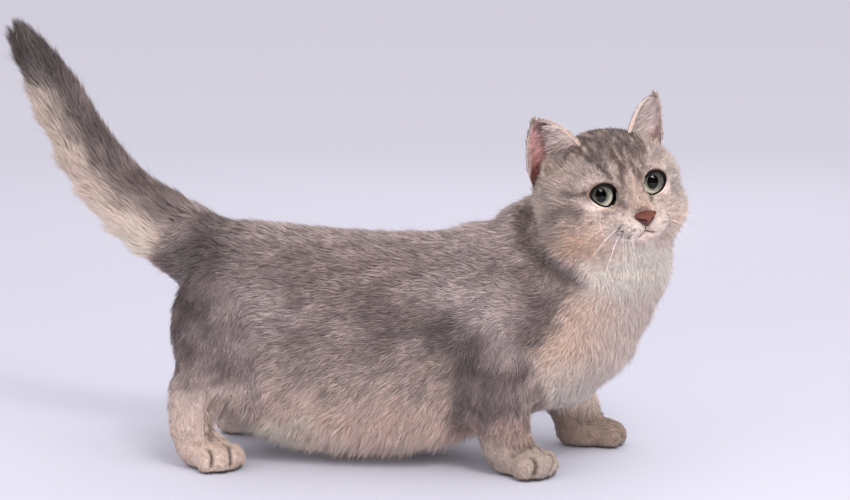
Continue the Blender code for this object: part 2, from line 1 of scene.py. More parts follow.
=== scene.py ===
# %% [markdown]
# # A short-legged cat in a soft grey-brown coat
#
# This lesson dresses a solid cat in its looks. The solids give every size: where the paws stand, how the
# head is turned and how far the coat reaches. A real cat is a smooth body under fur, so the work has four
# steps. First one skin is drawn in from the solids by the depth of the coat, and the ears are added to it.
# Then the coat grows on both as thousands of thin tufts that follow its lie. The eyes, lids, nose, lips and
# whiskers come next, and the light last.

# %% The frame
import math

import bmesh
import bpy
import numpy as np
from mathutils import Matrix, Vector
from mathutils.bvhtree import BVHTree
from mathutils.kdtree import KDTree


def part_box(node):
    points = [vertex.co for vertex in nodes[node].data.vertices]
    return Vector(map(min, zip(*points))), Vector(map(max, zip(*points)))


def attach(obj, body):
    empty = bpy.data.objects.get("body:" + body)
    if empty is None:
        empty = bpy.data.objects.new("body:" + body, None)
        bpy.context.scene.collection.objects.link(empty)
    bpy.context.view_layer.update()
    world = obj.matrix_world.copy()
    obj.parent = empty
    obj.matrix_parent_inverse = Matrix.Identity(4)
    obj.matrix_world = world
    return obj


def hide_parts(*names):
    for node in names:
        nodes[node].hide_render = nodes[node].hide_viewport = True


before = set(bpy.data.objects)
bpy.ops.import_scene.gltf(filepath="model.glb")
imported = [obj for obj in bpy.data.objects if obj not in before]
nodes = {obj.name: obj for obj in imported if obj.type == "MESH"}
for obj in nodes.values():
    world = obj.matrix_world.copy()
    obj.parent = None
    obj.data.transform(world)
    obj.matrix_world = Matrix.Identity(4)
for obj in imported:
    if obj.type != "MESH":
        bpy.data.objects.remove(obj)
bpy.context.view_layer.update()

BODY = "root"
draw = np.random.default_rng(20)
print("nodes of the frame:", len(nodes))

# %% [markdown]
# ## The head's own axes
#
# A face is easier to draw looking straight at it. These three directions run forward from the head, to the
# cat's left and up through its crown, and every place on the face below is given along them, in metres. The
# turn, raise and tilt are those of the solid head, and its middle comes from the two eyes.

# %% The head's own axes
HEAD_TURN, HEAD_RAISE, HEAD_TILT = math.radians(62.5), math.radians(7.0), math.radians(11.4)
EYE_FORWARD = 0.0272


def middle_of(node):
    low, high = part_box(node)
    return (Vector(low) + Vector(high)) / 2


def head_axes():
    """The head's forward, left and up directions as the columns of a matrix."""
    forward = Vector((math.cos(HEAD_TURN) * math.cos(HEAD_RAISE), -math.sin(HEAD_TURN) * math.cos(HEAD_RAISE),
                      math.sin(HEAD_RAISE)))
    left = Vector((0, 0, 1)).cross(forward).normalized()
    tilt = Matrix.Rotation(HEAD_TILT, 3, forward)
    return Matrix((forward, tilt @ left, tilt @ forward.cross(left))).transposed()


HEAD = head_axes()
EYES = {-1: middle_of("eye_right"), 1: middle_of("eye_left")}
EYE_MIDDLE = (EYES[-1] + EYES[1]) / 2
HEAD_MIDDLE = EYE_MIDDLE - HEAD.col[0] * EYE_FORWARD
HEAD_ARRAY = np.array(HEAD)


def in_head(forward, left, up):
    return HEAD_MIDDLE + HEAD @ Vector((forward, left, up))


def to_head(points):
    """Points of the frame, as rows, along the head's own axes."""
    return (points - np.array(HEAD_MIDDLE)) @ HEAD_ARRAY


def to_nearest_eye(places):
    """How far each place is from the middle of the nearer eye."""
    return np.min([np.linalg.norm(places - np.array(EYES[s]), axis=1) for s in (-1, 1)], axis=0)


print("middle of the head:", tuple(round(c, 4) for c in HEAD_MIDDLE))

# %% [markdown]
# ## Shader maths that reads like maths
#
# A material is a graph of nodes. Written node by node it hides what it does, so one small class wraps an
# output and turns sums on it into Math nodes, and one method makes any other kind of node.


# %% A small language for materials
class Wire:
    """One output of a shader node. Sums on wires add Math nodes."""

    def __init__(self, finish, node, output=0):
        self.finish, self.node, self.output = finish, node, output

    def out(self, name):
        return Wire(self.finish, self.node, name)

    def maths(self, operation, first, second=0.0):
        return self.finish.node("Math", {"operation": operation}, {0: first, 1: second})

    def __add__(self, other): return self.maths("ADD", self, other)
    def __radd__(self, other): return self.maths("ADD", other, self)
    def __sub__(self, other): return self.maths("SUBTRACT", self, other)
    def __rsub__(self, other): return self.maths("SUBTRACT", other, self)
    def __mul__(self, other): return self.maths("MULTIPLY", self, other)
    def __rmul__(self, other): return self.maths("MULTIPLY", other, self)
    def __truediv__(self, other): return self.maths("DIVIDE", self, other)
    def __pow__(self, other): return self.maths("POWER", self, other)

    def clamped(self):
        return self.finish.node("Clamp", {}, {"Value": self})


# %% A material with one shader
class Finish:
    """A material with one Principled shader, built with short calls."""

    def __init__(self, name, **fixed):
        self.material = bpy.data.materials.new(name)
        self.material.use_nodes = True
        self.tree = self.material.node_tree
        self.surface = self.tree.nodes["Principled BSDF"]
        self.feed(**fixed)

    def plug(self, socket, value):
        if isinstance(value, Wire):
            self.tree.links.new(value.node.outputs[value.output], socket)
        else:
            socket.default_value = value

    def feed(self, **values):
        """Sets or links sockets of the Principled shader. Base_Color stands for Base Color."""
        for name, value in values.items():
            self.plug(self.surface.inputs[name.replace("_", " ")], value)

    def node(self, kind, settings=None, sockets=None):
        made = self.tree.nodes.new("ShaderNode" + kind)
        for name, value in (settings or {}).items():
            if name == "stops":
                ramp = made.color_ramp
                ramp.elements.remove(ramp.elements[1])
                for n, (place, colour) in enumerate(value):
                    stop = ramp.elements[0] if n == 0 else ramp.elements.new(place)
                    stop.position, stop.color = place, (*colour, 1.0)
            else:
                setattr(made, name, value)
        for name, value in (sockets or {}).items():
            self.plug(made.inputs[name], value)
        return Wire(self, made)

    def noise(self, scale, detail=2.0, vector=None):
        vector = vector or self.node("TexCoord").out("Object")
        return self.node("TexNoise", {}, {"Vector": vector, "Scale": scale, "Detail": detail})

    def mix(self, share, first, second, blend="MIX"):
        """Two colours mixed. The RGBA mix node keeps its colour sockets at 6 and 7."""
        made = self.node("Mix", {"data_type": "RGBA", "blend_type": blend}, {0: share, 6: first, 7: second})
        return made.out(2)

    def bump(self, height, distance, strength=1.0):
        made = self.node("Bump", {}, {"Height": height, "Distance": distance, "Strength": strength})
        self.feed(Normal=made)


# %% Tones from a picture's numbers
def tone(red, green, blue):
    """A colour given in the 0 to 255 values of a picture, as the linear values that light needs."""
    return np.array([((c / 255 + 0.055) / 1.055) ** 2.4 for c in (red, green, blue)])


print("materials are written as sums of wires")

# %% [markdown]
# ## One skin under the whole coat
#
# The solids are cut into head, neck, trunk, legs and tail, and fur would show every cut as a parting. A
# voxel remesh flows over the thin gaps and gives one closed skin. Each of its points then asks which solid
# it came from, because the coat is long on the tail and short on the paws, and those answers are blurred so
# that no border shows.

# %% One skin
VOXEL = 0.0015
FLESH = [name for name in nodes if name.split("_")[0] not in ("eye", "ear", "nose")]


def merged(names):
    """Copies of these nodes in one bmesh, with the shared corners of their triangles merged."""
    bm = bmesh.new()
    for name in names:
        bm.from_mesh(nodes[name].data)
    bmesh.ops.remove_doubles(bm, verts=bm.verts, dist=1e-6)
    return bm


def new_piece(name, bm, smooth=True):
    """An object at the origin that holds the bmesh."""
    mesh = bpy.data.meshes.new(name)
    bm.to_mesh(mesh)
    bm.free()
    if smooth:
        mesh.shade_smooth()
    made = bpy.data.objects.new(name, mesh)
    bpy.context.scene.collection.objects.link(made)
    return made


def with_modifiers(piece):
    """The piece with its modifiers applied."""
    graph = bpy.context.evaluated_depsgraph_get()
    mesh = bpy.data.meshes.new_from_object(piece.evaluated_get(graph))
    piece.modifiers.clear()
    piece.data = mesh
    return piece


# %% Reading meshes as arrays
def read(values, name, size, count, kind=np.float64):
    """A mesh's numbers as rows of an array."""
    found = np.empty(count * size, dtype=kind)
    values.foreach_get(name, found)
    return found.reshape(count, size) if size > 1 else found


def largest_part(piece):
    """Drops every loose scrap of a piece but its largest connected part."""
    bm = bmesh.new()
    bm.from_mesh(piece.data)
    unseen, parts = set(bm.verts), []
    while unseen:
        queue, part = [unseen.pop()], []
        while queue:
            vert = queue.pop()
            part.append(vert)
            for edge in vert.link_edges:
                other = edge.other_vert(vert)
                if other in unseen:
                    unseen.discard(other)
                    queue.append(other)
        parts.append(part)
    parts.sort(key=len)
    bmesh.ops.delete(bm, geom=[v for part in parts[:-1] for v in part], context="VERTS")
    bm.to_mesh(piece.data)
    bm.free()
    print("loose scraps dropped:", len(parts) - 1)


def voxel_skin(bm):
    """One closed skin over everything in the bmesh."""
    made = new_piece("skin", bm)
    remesh = made.modifiers.new("Remesh", "REMESH")
    remesh.mode, remesh.voxel_size = "VOXEL", VOXEL
    largest_part(with_modifiers(made))
    return made


def rows_of(piece):
    """The points and edges of a piece, and how many edges meet at each point."""
    count = len(piece.data.vertices)
    pairs = read(piece.data.edges, "vertices", 2, len(piece.data.edges), np.int32)
    meeting = np.bincount(pairs.ravel(), minlength=count).astype(float)
    return read(piece.data.vertices, "co", 3, count), pairs, meeting


skin = voxel_skin(merged(FLESH))
points, edges, degree = rows_of(skin)
print("first skin:", len(points), "points")

# %% [markdown]
# ## Fields on the skin
#
# A field is one number for each point of the skin: 1 on the head and 0 elsewhere, or the length of the
# hair. The solids are asked for the one that lies nearest, and a field is blurred by moving each point's
# value towards the mean of its neighbours, again and again. The same blur on the points themselves smooths
# the skin.

# %% Which solid each point came from
corners, faces, face_node = [], [], []
for index, name in enumerate(FLESH):
    mesh = nodes[name].data
    start = len(corners)
    corners += [tuple(v.co) for v in mesh.vertices]
    faces += [tuple(start + i for i in p.vertices) for p in mesh.polygons]
    face_node += [index] * len(mesh.polygons)
solids = BVHTree.FromPolygons(corners, faces)


def origins(places):
    """The number of the solid that lies nearest to each place."""
    return np.array([face_node[solids.find_nearest(place)[2]] for place in places])


def kind_of(*starts):
    """1 on points that came from nodes whose names start so, and 0 elsewhere."""
    wanted = [n for n, name in enumerate(FLESH) if name.startswith(starts)]
    return np.isin(origin_node, wanted).astype(float)


origin_node = origins(points)
print("points on the head:", int(kind_of("head").sum()))


# %% Blurring a field over the skin
def relaxed(values, times, share=0.5):
    """Each point's value moves towards the mean of its neighbours. share may differ from point to point."""
    values = values.astype(float).copy()
    count = len(values)
    share = np.broadcast_to(share, (count,))
    used = edges[(share[edges] > 0).any(axis=1)]
    for _ in range(times):
        for column in values.reshape(count, -1).T:
            total = np.bincount(used[:, 0], column[used[:, 1]], count)
            total += np.bincount(used[:, 1], column[used[:, 0]], count)
            column += share * (total / degree - column)
    return values


def unit(rows):
    return rows / np.maximum(np.linalg.norm(rows, axis=-1, keepdims=True), 1e-9)


def step(low, high, values):
    """0 below low, 1 above high and smooth between. low may be the larger one."""
    share = np.clip((values - low) / (high - low), 0, 1)
    return share * share * (3 - 2 * share)


def point_normals(piece, places):
    """Normals of a piece with its points at these places."""
    piece.data.vertices.foreach_set("co", places.ravel())
    piece.data.update()
    return read(piece.data.vertex_normals, "vector", 3, len(places))


# %% [markdown]
# ## Smooth flesh out of shaggy solids
#
# The solids show the shaggy belly and tail as locks, but flesh has none: here the locks are only the
# outline that the fur has to reach. A ray shot inwards from each point finds the thin places, and those are
# smoothed hardest. The throat comes next, because the edge between jaw and neck would part the fur of the
# bib. Smoothing squeezes the skin's faces in some places, so a second remesh gives even ones again.

# %% Pressing the locks flat
LOCK_WIDTH, LOCK_RELAX, TRUNK_RELAX, THROAT_RELAX = 0.0090, 700, 60, 150
CLEAR_OF_SKIN, LOCK_SHARE = 0.0004, 0.04
shell = BVHTree.FromObject(skin, bpy.context.evaluated_depsgraph_get())
normals = point_normals(skin, points)
shaggy = kind_of("torso", "tail", "hindleg_right", "hindleg_left") > 0


def thin_at(place, normal):
    """True where the other side of the skin is less than a lock's width away."""
    start = Vector(place) - Vector(normal) * CLEAR_OF_SKIN
    return shell.ray_cast(start, -Vector(normal), LOCK_WIDTH)[0] is not None


thin = [bool(s) and thin_at(p, n) for p, n, s in zip(points, normals, shaggy)]
locks = relaxed(np.array(thin), 5) > LOCK_SHARE
points = relaxed(points, LOCK_RELAX, 0.8 * locks * shaggy)
print("points in locks of the belly and tail:", int(locks.sum()))

# %% Smoothing the trunk and the throat
under_jaw = kind_of("head") * step(-0.040, -0.052, to_head(points)[:, 2])
trunk_like = relaxed(1 - kind_of("head", "forepaw", "hindpaw") + under_jaw, 6)
points = relaxed(points, TRUNK_RELAX, 0.5 * np.clip(trunk_like, 0, 1))
face = to_head(points)
throat = kind_of("head") * step(-0.036, -0.046, face[:, 2]) + kind_of("neck")
throat *= step(-0.012, 0.004, face[:, 0])
throat *= step(0.050, 0.036, np.abs(face[:, 1]))
points = relaxed(points, THROAT_RELAX, 0.5 * np.clip(relaxed(throat, 4), 0, 1))
point_normals(skin, points)
print("points of the throat:", int((throat > 0).sum()))

# %% A clean skin over the smooth trunk
bm = bmesh.new()
bm.from_mesh(skin.data)
bpy.data.objects.remove(skin)
skin = voxel_skin(bm)
points, edges, degree = rows_of(skin)
point_count = len(points)
origin_node = origins(points)
on_head = kind_of("head")
trunk_like = np.clip(relaxed(1 - kind_of("head", "forepaw", "hindpaw"), 6), 0, 1)
points = relaxed(points, 2, 0.4)
print("skin:", point_count, "points")

# %% [markdown]
# ## The lie of the coat, as numbers on the skin
#
# Fur runs from the nose to the tail and down the legs. A painter would draw arrows on the skin, and these
# lines do the same: each part of the body gets a direction and a length for its hair, and both are blurred
# over the borders.

# %% Length and lie of the coat
LENGTHS = {"head": 0.0110, "neck": 0.0150, "torso": 0.0125, "tail": 0.0170,
           "foreleg": 0.0080, "hindleg": 0.0090, "forepaw": 0.0042, "hindpaw": 0.0042}
FIELD_RELAX = 34
FORE_HEADING = {"right": math.radians(-40), "left": math.radians(6)}
HIND_HEADING = {"right": math.radians(-42), "left": math.radians(14)}
TAIL = ("tail_root", "tail_middle", "tail_upper", "tail_tip")
NOSE = np.array(middle_of("nose"))
tail_path = [middle_of("torso").lerp(middle_of("tail_root"), 0.75)] + [middle_of(n) for n in TAIL]
lie = np.zeros((point_count, 3))
length = np.zeros(point_count)
height = points[:, 2]
for index, name in enumerate(FLESH):
    mine = origin_node == index
    length[mine] = LENGTHS[name.split("_")[0]]
    if name in TAIL:
        place = TAIL.index(name) + 1
        way = tail_path[min(place + 1, len(TAIL))] - tail_path[place - 1]
        lie[mine] = unit(np.array(way))
    elif name == "head":
        lie[mine] = unit(points[mine] - NOSE - np.array(HEAD.col[0]) * -0.012)
    elif name == "neck":
        front = step(0.150, 0.215, points[mine, 0])[:, None]
        lie[mine] = (1 - front) * np.array((-1.0, 0.0, -0.55)) + front * np.array((-0.15, 0.0, -1.0))
    elif name == "torso":
        low = step(0.125, 0.020, height[mine])[:, None]
        chest = step(0.150, 0.200, points[mine, 0])[:, None]
        flank = np.array((-1.0, 0.0, -0.16)) * (1 - low) + np.array((-0.62, 0.0, -0.85)) * low
        lie[mine] = flank * (1 - chest) + np.array((-0.15, 0.0, -1.0)) * chest
    elif "leg" in name:
        lie[mine] = (-0.30, 0.0, -1.0)
    else:
        heading = (FORE_HEADING if name.startswith("fore") else HIND_HEADING)[name.split("_")[1]]
        lie[mine] = (math.cos(heading), math.sin(heading), -0.45)
lie = unit(relaxed(lie, FIELD_RELAX))
print("lengths from", length.min(), "to", length.max())

# %% [markdown]
# ## Soft lines and spots
#
# The clefts between the toes, the fold behind the cheek and most markings are lines or spots with soft
# edges. Each is a curve of distance: near 1 on the line and falling to 0 over its radius. A line through
# several places takes the strongest of its strokes. These fields are measured before the skin is drawn in,
# because the lines lie on it.

# %% Spots and strokes
def mirrored(face):
    """Places of the head with both its sides laid on the left one."""
    return np.column_stack((face[:, 0], np.abs(face[:, 1]), face[:, 2]))


def blot(face, place, radius):
    """A soft spot on both sides of the face. radius may have a value for each of the head's axes."""
    offset = (mirrored(face) - np.array(place)) / np.array(radius)
    return np.exp(-np.sum(offset * offset, axis=1))


def stroke(here, start, end, radius):
    """A soft line between two places."""
    start, end = np.array(start), np.array(end)
    way = end - start
    share = np.clip((here - start) @ way / (way @ way), 0, 1)
    offset = here - start - share[:, None] * way
    return np.exp(-np.sum(offset * offset, axis=1) / radius ** 2)


def path(here, places, radius):
    """A soft line through several places."""
    return np.max([stroke(here, start, end, radius) for start, end in zip(places, places[1:])], axis=0)


def along_clefts(radius):
    """A soft line along every cleft between the toes."""
    return np.max([path(points, cleft, radius) for cleft in TOE_CLEFTS], axis=0)


# %% Soft lines over the body
TOE_CLEFTS = (((0.1520, -0.0628, 0.0185), (0.1556, -0.0671, 0.0154), (0.1562, -0.0693, 0.0114),
               (0.1545, -0.0695, 0.0030)),
              ((0.1640, -0.0470, 0.0190), (0.1658, -0.0487, 0.0168), (0.1687, -0.0511, 0.0129),
               (0.1688, -0.0582, 0.0091), (0.1670, -0.0605, 0.0030)),
              ((-0.0833, -0.0731, 0.0189), (-0.0802, -0.0783, 0.0166), (-0.0788, -0.0812, 0.0125),
               (-0.0793, -0.0824, 0.0030)),
              ((-0.0747, -0.0594, 0.0201), (-0.0714, -0.0608, 0.0190), (-0.0688, -0.0682, 0.0179),
               (-0.0663, -0.0727, 0.0131), (-0.0659, -0.0734, 0.0030)),
              ((0.2060, 0.0485, 0.0200), (0.2160, 0.0490, 0.0050)),
              ((0.2060, 0.0610, 0.0200), (0.2155, 0.0620, 0.0050)),
              ((-0.0680, 0.0560, 0.0190), (-0.0560, 0.0590, 0.0050)),
              ((-0.0700, 0.0680, 0.0190), (-0.0585, 0.0715, 0.0050)))
PAW_CREASE = ((0.1376, -0.0630, 0.0170), (0.1450, -0.0602, 0.0212), (0.1517, -0.0505, 0.0237))
CREASE = ((-0.0260, 0.0570, 0.006), (-0.0150, 0.0600, -0.0133), (-0.0080, 0.0600, -0.0245),
          (0.0010, 0.0590, -0.0345), (0.0080, 0.0555, -0.0435), (0.0135, 0.0505, -0.0520),
          (0.0170, 0.0450, -0.0585))
NECK_SHADE = ((0.1395, -0.0110, 0.1920), (0.1400, -0.0240, 0.1826), (0.1437, -0.0322, 0.1750),
              (0.1482, -0.0378, 0.1680), (0.1540, -0.0425, 0.1615), (0.1605, -0.0455, 0.1550),
              (0.1680, -0.0480, 0.1490), (0.1765, -0.0502, 0.1437))
face = to_head(points)
toes, paw_crease = along_clefts(0.0024), path(points, PAW_CREASE, 0.0020)
crease = path(mirrored(face), CREASE, 0.0065)
# Painted shade: the toe clefts and the paw crease are darkened as painted shade, the fold behind the cheek as
# painted shade over partly dark fur, and the line beside the cheek as a painted shadow on the neck.
shaded_folds = np.maximum(along_clefts(0.0015), 0.6 * paw_crease)
shaded_folds = np.maximum(shaded_folds, np.maximum(0.9 * crease, 0.85 * path(points, NECK_SHADE, 0.0040)))
print("points in the clefts of the toes:", int((toes > 0.5).sum()))

# %% Length over the face
forward, sideways, upward = face[:, 0], np.abs(face[:, 1]), face[:, 2]
short = step(0.012, 0.040, forward) * step(0.050, 0.034, sideways)
length = relaxed(length, FIELD_RELAX)
crown = step(0.016, 0.034, upward) * step(-0.045, -0.015, forward)
length *= 1 - on_head * (0.62 * short + 0.38 * crown * (1 - short))
length += on_head * 0.0045 * step(-0.012, -0.036, upward) * step(0.022, 0.002, forward)
length += on_head * 0.0050 * step(-0.036, -0.046, upward)
length *= 1 - 0.45 * on_head * step(0.021, 0.014, to_nearest_eye(points))
length *= 1 - 0.35 * on_head * blot(face, (0.050, 0.0135, -0.0275), (0.014, 0.0110, 0.0085))
length = relaxed(length, 4)
for side in (-1, 1):
    off_eye = points - np.array(EYES[side])
    near = on_head * step(0.024, 0.014, np.linalg.norm(off_eye, axis=1))
    lie = unit(lie + 2.4 * near[:, None] * unit(off_eye))
print("shortest hair on the face:", round(float(length[on_head > 0].min()) * 1000, 1), "mm")

# %% Length along the belly and the bib
BELLY_LINE = ((-0.11, 0.055), (-0.09, 0.036), (-0.07, 0.024), (-0.05, 0.014), (-0.02, 0.008),
              (0.03, 0.008), (0.09, 0.018), (0.12, 0.028))
over_belly = height - np.interp(points[:, 0], *np.array(BELLY_LINE).T)
fringe = kind_of("torso", "hindleg") * (points[:, 0] > -0.086) * step(0.040, 0.012, over_belly)
fringe *= step(0.15, 0.12, points[:, 0]) * (np.abs(points[:, 1]) < 0.066)
fringe = relaxed(fringe, 8)
length += (0.0075 + 0.0050 * step(-0.02, -0.06, points[:, 0])) * fringe
bib = relaxed(kind_of("neck", "torso") * step(0.165, 0.205, points[:, 0]), 8)
length += 0.0020 * bib
length *= 1 - 0.45 * np.maximum(path(mirrored(face), CREASE, 0.0110), toes)
below_jaw = step(-0.036, -0.046, upward) * step(-0.020, 0.0, forward)
length *= 1 - 0.25 * relaxed(kind_of("neck", "head") * below_jaw, 8)
calm = np.maximum(bib, relaxed(on_head * below_jaw, 8))
print("longest hair:", round(float(length.max()) * 1000, 1), "mm")

# %% [markdown]
# ## Drawing the skin in
#
# The solids reach to the tips of the coat. Hair that rises at the root and bends over stands about two
# fifths of its length above the skin, so the skin is drawn in by that much, more under the brush of the
# tail than on a paw. The same step models what fur hides and the solids leave out: whisker pads, chin and
# the clefts of the toes.

# %% Drawing the skin in
STAND_SHARE, LEAST_DEPTH = 0.36, 0.0006
MOUTH = ((0.0, -0.0262), (0.0, -0.0306), (0.0042, -0.0330), (0.0090, -0.0340), (0.0140, -0.0338),
         (0.0185, -0.0322))
depth = np.maximum(length * STAND_SHARE - 0.0004, LEAST_DEPTH)
inward = unit(relaxed(point_normals(skin, points), 6))
points = relaxed(points - inward * depth[:, None], 2, 0.3 * trunk_like)
print("drawn in by up to", round(float(depth.max()) * 1000, 1), "mm")

# %% Pads, mouth and clefts
face = to_head(points)
swell = 0.0030 * blot(face, (0.050, 0.0115, -0.0285), (0.012, 0.0085, 0.0075))
swell += 0.0003 * blot(face, (0.046, 0.0, -0.0425), (0.010, 0.0075, 0.0050))
swell -= 0.0016 * blot(face, (0.053, 0.0, -0.0290), (0.012, 0.0016, 0.0048))
for start, end in zip(MOUTH[1:], MOUTH[2:]):
    swell -= 0.0011 * step(0.030, 0.040, face[:, 0]) * stroke(mirrored(face)[:, 1:], start, end, 0.0016)
swell *= on_head
swell -= 0.0032 * toes + 0.0010 * paw_crease + 0.0055 * crease
points += inward * swell[:, None]
print("pads raised by up to", round(float(swell.max()) * 1000, 1), "mm")

# %% Room for the eyes
LID_SLANT, LID_SHIFT, LID_DROP = 0.16, 0.0013, 0.0006
ROOM_HALF, ROOM_DEPTH, SOLE_HEIGHT = (0.0118, 0.0096), 0.0078, 0.0009
for side in (-1, 1):
    seen = (points - np.array(EYES[side])) @ HEAD_ARRAY * np.array((1, side, 1))
    seen[:, 1:] += (LID_SHIFT, LID_DROP)
    slant = seen[:, 2] - LID_SLANT * seen[:, 1]
    within = np.hypot(seen[:, 1] / ROOM_HALF[0], slant / ROOM_HALF[1])
    inside = (within < 1) * (seen[:, 0] > 0.001) * (seen[:, 0] < 0.020)
    spread = np.where(inside, 1 / np.maximum(within, 0.2), 1.0)
    sunk = np.where(inside, np.minimum(seen[:, 0], ROOM_DEPTH), seen[:, 0])
    moved = np.column_stack((sunk, seen[:, 1] * spread - LID_SHIFT,
                             (slant + LID_SLANT * seen[:, 1]) * spread - LID_DROP))
    points = (moved * np.array((1, side, 1))) @ HEAD_ARRAY.T + np.array(EYES[side])
points[:, 2] = np.maximum(points[:, 2], SOLE_HEIGHT)
normals = point_normals(skin, points)
print("lowest point of the skin:", round(float(points[:, 2].min()) * 1000, 1), "mm")

# %% [markdown]
# ## The ears
#
# An ear is a cupped leaf: thin, open to the front, with its edges drawn forward. Each row of the grid below
# runs over the hollow front and returns over the back, so the leaf is closed, and each point keeps how far
# it is across and up, which later places the pink hollow, the pale rim and the long hairs that grow in from
# the inner edge.

# %% One ear
INNER_ROOT, OUTER_ROOT = Vector((0.014, 0.0185, 0.034)), Vector((-0.008, 0.054, 0.022))
EAR_TIPS = {-1: Vector((0.010, 0.0485, 0.0625)), 1: Vector((0.010, 0.0480, 0.0600))}
TIP_HALF, TIP_DROP = Vector((0.0008, 0.0019, -0.0006)), 0.0018
EAR_CUP, EAR_WALL, EAR_ROWS, EAR_COLUMNS = 0.017, 0.0013, 34, 24
EAR_BACK = Vector((-0.86, 0.10, -0.20)).normalized()


def ear_edge(root, end, push, reach):
    """A point on one edge of the left ear, bowed out between root and tip."""
    knee = root.lerp(end, 0.55) + push
    low, high = root.lerp(knee, reach), knee.lerp(end, reach)
    return low.lerp(high, reach)


def ear_point(side, across, reach, behind):
    """A point of an ear. across and reach run from 0 to 1, behind is 0 on the front and 1 on the back."""
    tip = EAR_TIPS[side]
    inner = ear_edge(INNER_ROOT, tip - TIP_HALF, Vector((0.0, -0.0045, 0.0065)), reach)
    outer = ear_edge(OUTER_ROOT, tip + TIP_HALF, Vector((-0.002, 0.0050, 0.0005)), reach)
    bow = 4 * across * (1 - across)
    hollow = EAR_CUP * (1 - reach) ** 0.75 * bow ** 0.8
    rounding = Vector((0, 0, -TIP_DROP * (2 * across - 1) ** 2 * reach ** 5))
    place = inner.lerp(outer, across) + EAR_BACK * (hollow + EAR_WALL * (0.35 + bow) * behind) + rounding
    return in_head(place.x, side * place.y, place.z)


def ear(side):
    """A closed ear, with the share across and up and the side, front or back, of each of its points."""
    bm = bmesh.new()
    grown, rings = [], []
    around = [(c / (EAR_COLUMNS - 1), 0) for c in range(EAR_COLUMNS)]
    around += [(share, 1) for share, _ in around[::-1]]
    for row in range(EAR_ROWS):
        reach = -0.22 + 1.205 * row / (EAR_ROWS - 1)
        ring = []
        for across, behind in around:
            sunk = HEAD @ Vector((-0.004, -side * 0.006, -0.034)) * max(0.0, -reach)
            ring.append(bm.verts.new(ear_point(side, across, max(reach, 0.0), behind) + sunk))
            grown.append((across, reach, behind))
        rings.append(ring)
    for low, high in zip(rings, rings[1:]):
        for n in range(len(around)):
            m = (n + 1) % len(around)
            bm.faces.new((low[n], low[m], high[m], high[n]))
    bm.faces.new(rings[0][::-1])
    bm.faces.new(rings[-1])
    bmesh.ops.recalc_face_normals(bm, faces=bm.faces)
    return bm, np.array(grown)


ears = {side: ear(side) for side in (-1, 1)}
flesh_count = point_count
joined = bmesh.new()
joined.from_mesh(skin.data)
for side in (-1, 1):
    made = bpy.data.meshes.new("ear")
    ears[side][0].to_mesh(made)
    ears[side][0].free()
    joined.from_mesh(made)
    bpy.data.meshes.remove(made)
bpy.data.objects.remove(skin)
skin = new_piece("skin", joined)
point_count = len(skin.data.vertices)
points = read(skin.data.vertices, "co", 3, point_count)
normals = read(skin.data.vertex_normals, "vector", 3, point_count)
grown = np.vstack((ears[-1][1], ears[1][1]))
print("points of the two ears:", len(grown))

# %% The coat's fields on the ears
def over_ears(values):
    """A field of the flesh, with zeros added for the ears."""
    return np.concatenate((values, np.zeros((point_count - flesh_count, *values.shape[1:]))))


def on_ears(values):
    """A field of the ears, with zeros added for the flesh."""
    return np.concatenate((np.zeros(flesh_count), values))


across, reach, behind = grown.T
ear_up = HEAD_ARRAY @ unit(np.array((0.0, 0.35, 1.0)))
ear_side = np.repeat((-1.0, 1.0), len(ears[1][1]))
outward = (HEAD_ARRAY @ np.array((0.0, 1.0, 0.0)))[None] * ear_side[:, None]
rim = np.maximum(step(0.10, 0.0, across), step(0.93, 1.0, across)) * (1 - behind)
rim = np.maximum(rim, step(0.90, 0.97, reach))
fan = np.clip(1.15 - across * 0.9, 0, 1)[:, None]
swept = np.where(ear_side < 0, -0.75, 0.85)[:, None] * fan * (1 - behind)[:, None]
lie = np.vstack((lie, unit(ear_up[None] * (1.0 - 0.35 * fan) + outward * swept)))
lie = unit(lie - normals * np.sum(lie * normals, axis=1)[:, None])
length = np.concatenate((length, 0.0036 + 0.0010 * behind))
on_ear_back, on_ear_rim = on_ears(behind * step(0.02, 0.12, reach)), on_ears(rim * step(0.0, 0.05, reach))
on_ear_tip, on_ear_front = on_ears(step(0.955, 0.98, reach)), on_ears((1 - behind) * step(0.03, 0.10, reach))
plume_roots = step(0.60, 0.40, across) * step(0.04, 0.10, across) * step(0.90, 0.60, reach)
furnished = on_ear_front * on_ears(plume_roots)
on_skin = np.arange(point_count) < flesh_count
print("points on the ears' rims:", int((rim > 0.5).sum()))


# %% [markdown]
# ## The markings
#
# Skin and tufts ask the same function for their colour, so they always agree. It works from a few named
# tones and from places on the body: darker along the back, cream on belly and bib, and on the head the
# small dark and pale strokes round the eyes. Each part is painted in layers, one tone over another, and
# each layer has a share for every place. A sum of slow waves makes the borders wander as they do on a real
# coat.

# %% Tones of the coat
SLATE, TAUPE, FAWN = tone(120, 103, 102), tone(180, 162, 159), tone(218, 197, 186)
CREAM, WHITE, APRICOT = tone(244, 224, 213), tone(253, 232, 222), tone(238, 203, 182)
UMBER, MAUVE = tone(66, 48, 42), tone(160, 140, 140)
ASH, BELLY, SNOW = tone(203, 187, 186), tone(248, 220, 206), tone(254, 236, 226)
PINK, RAW, PLUME = tone(198, 152, 150), tone(142, 78, 70), tone(230, 208, 203)


def waves(places, size, seed, count=7):
    """Slow waves over space between -1 and 1, about size metres from crest to crest."""
    own = np.random.default_rng(seed)
    ways = unit(own.normal(size=(count, 3))) * 2 * math.pi / (size * own.uniform(0.7, 1.4, (count, 1)))
    return np.sin(places @ ways.T + own.uniform(0, 6.28, count)).sum(axis=1) / math.sqrt(count) / 1.4


def toward(colours, share, colour):
    """Colours moved towards one colour by a share for each row."""
    return colours + np.clip(share, 0, 1)[:, None] * (colour - colours)


def painted(colours, *layers):
    """Colours with layers over them. A layer is a share for each row and the colour it moves them towards."""
    for share, colour in layers:
        colours = toward(colours, share, colour)
    return colours


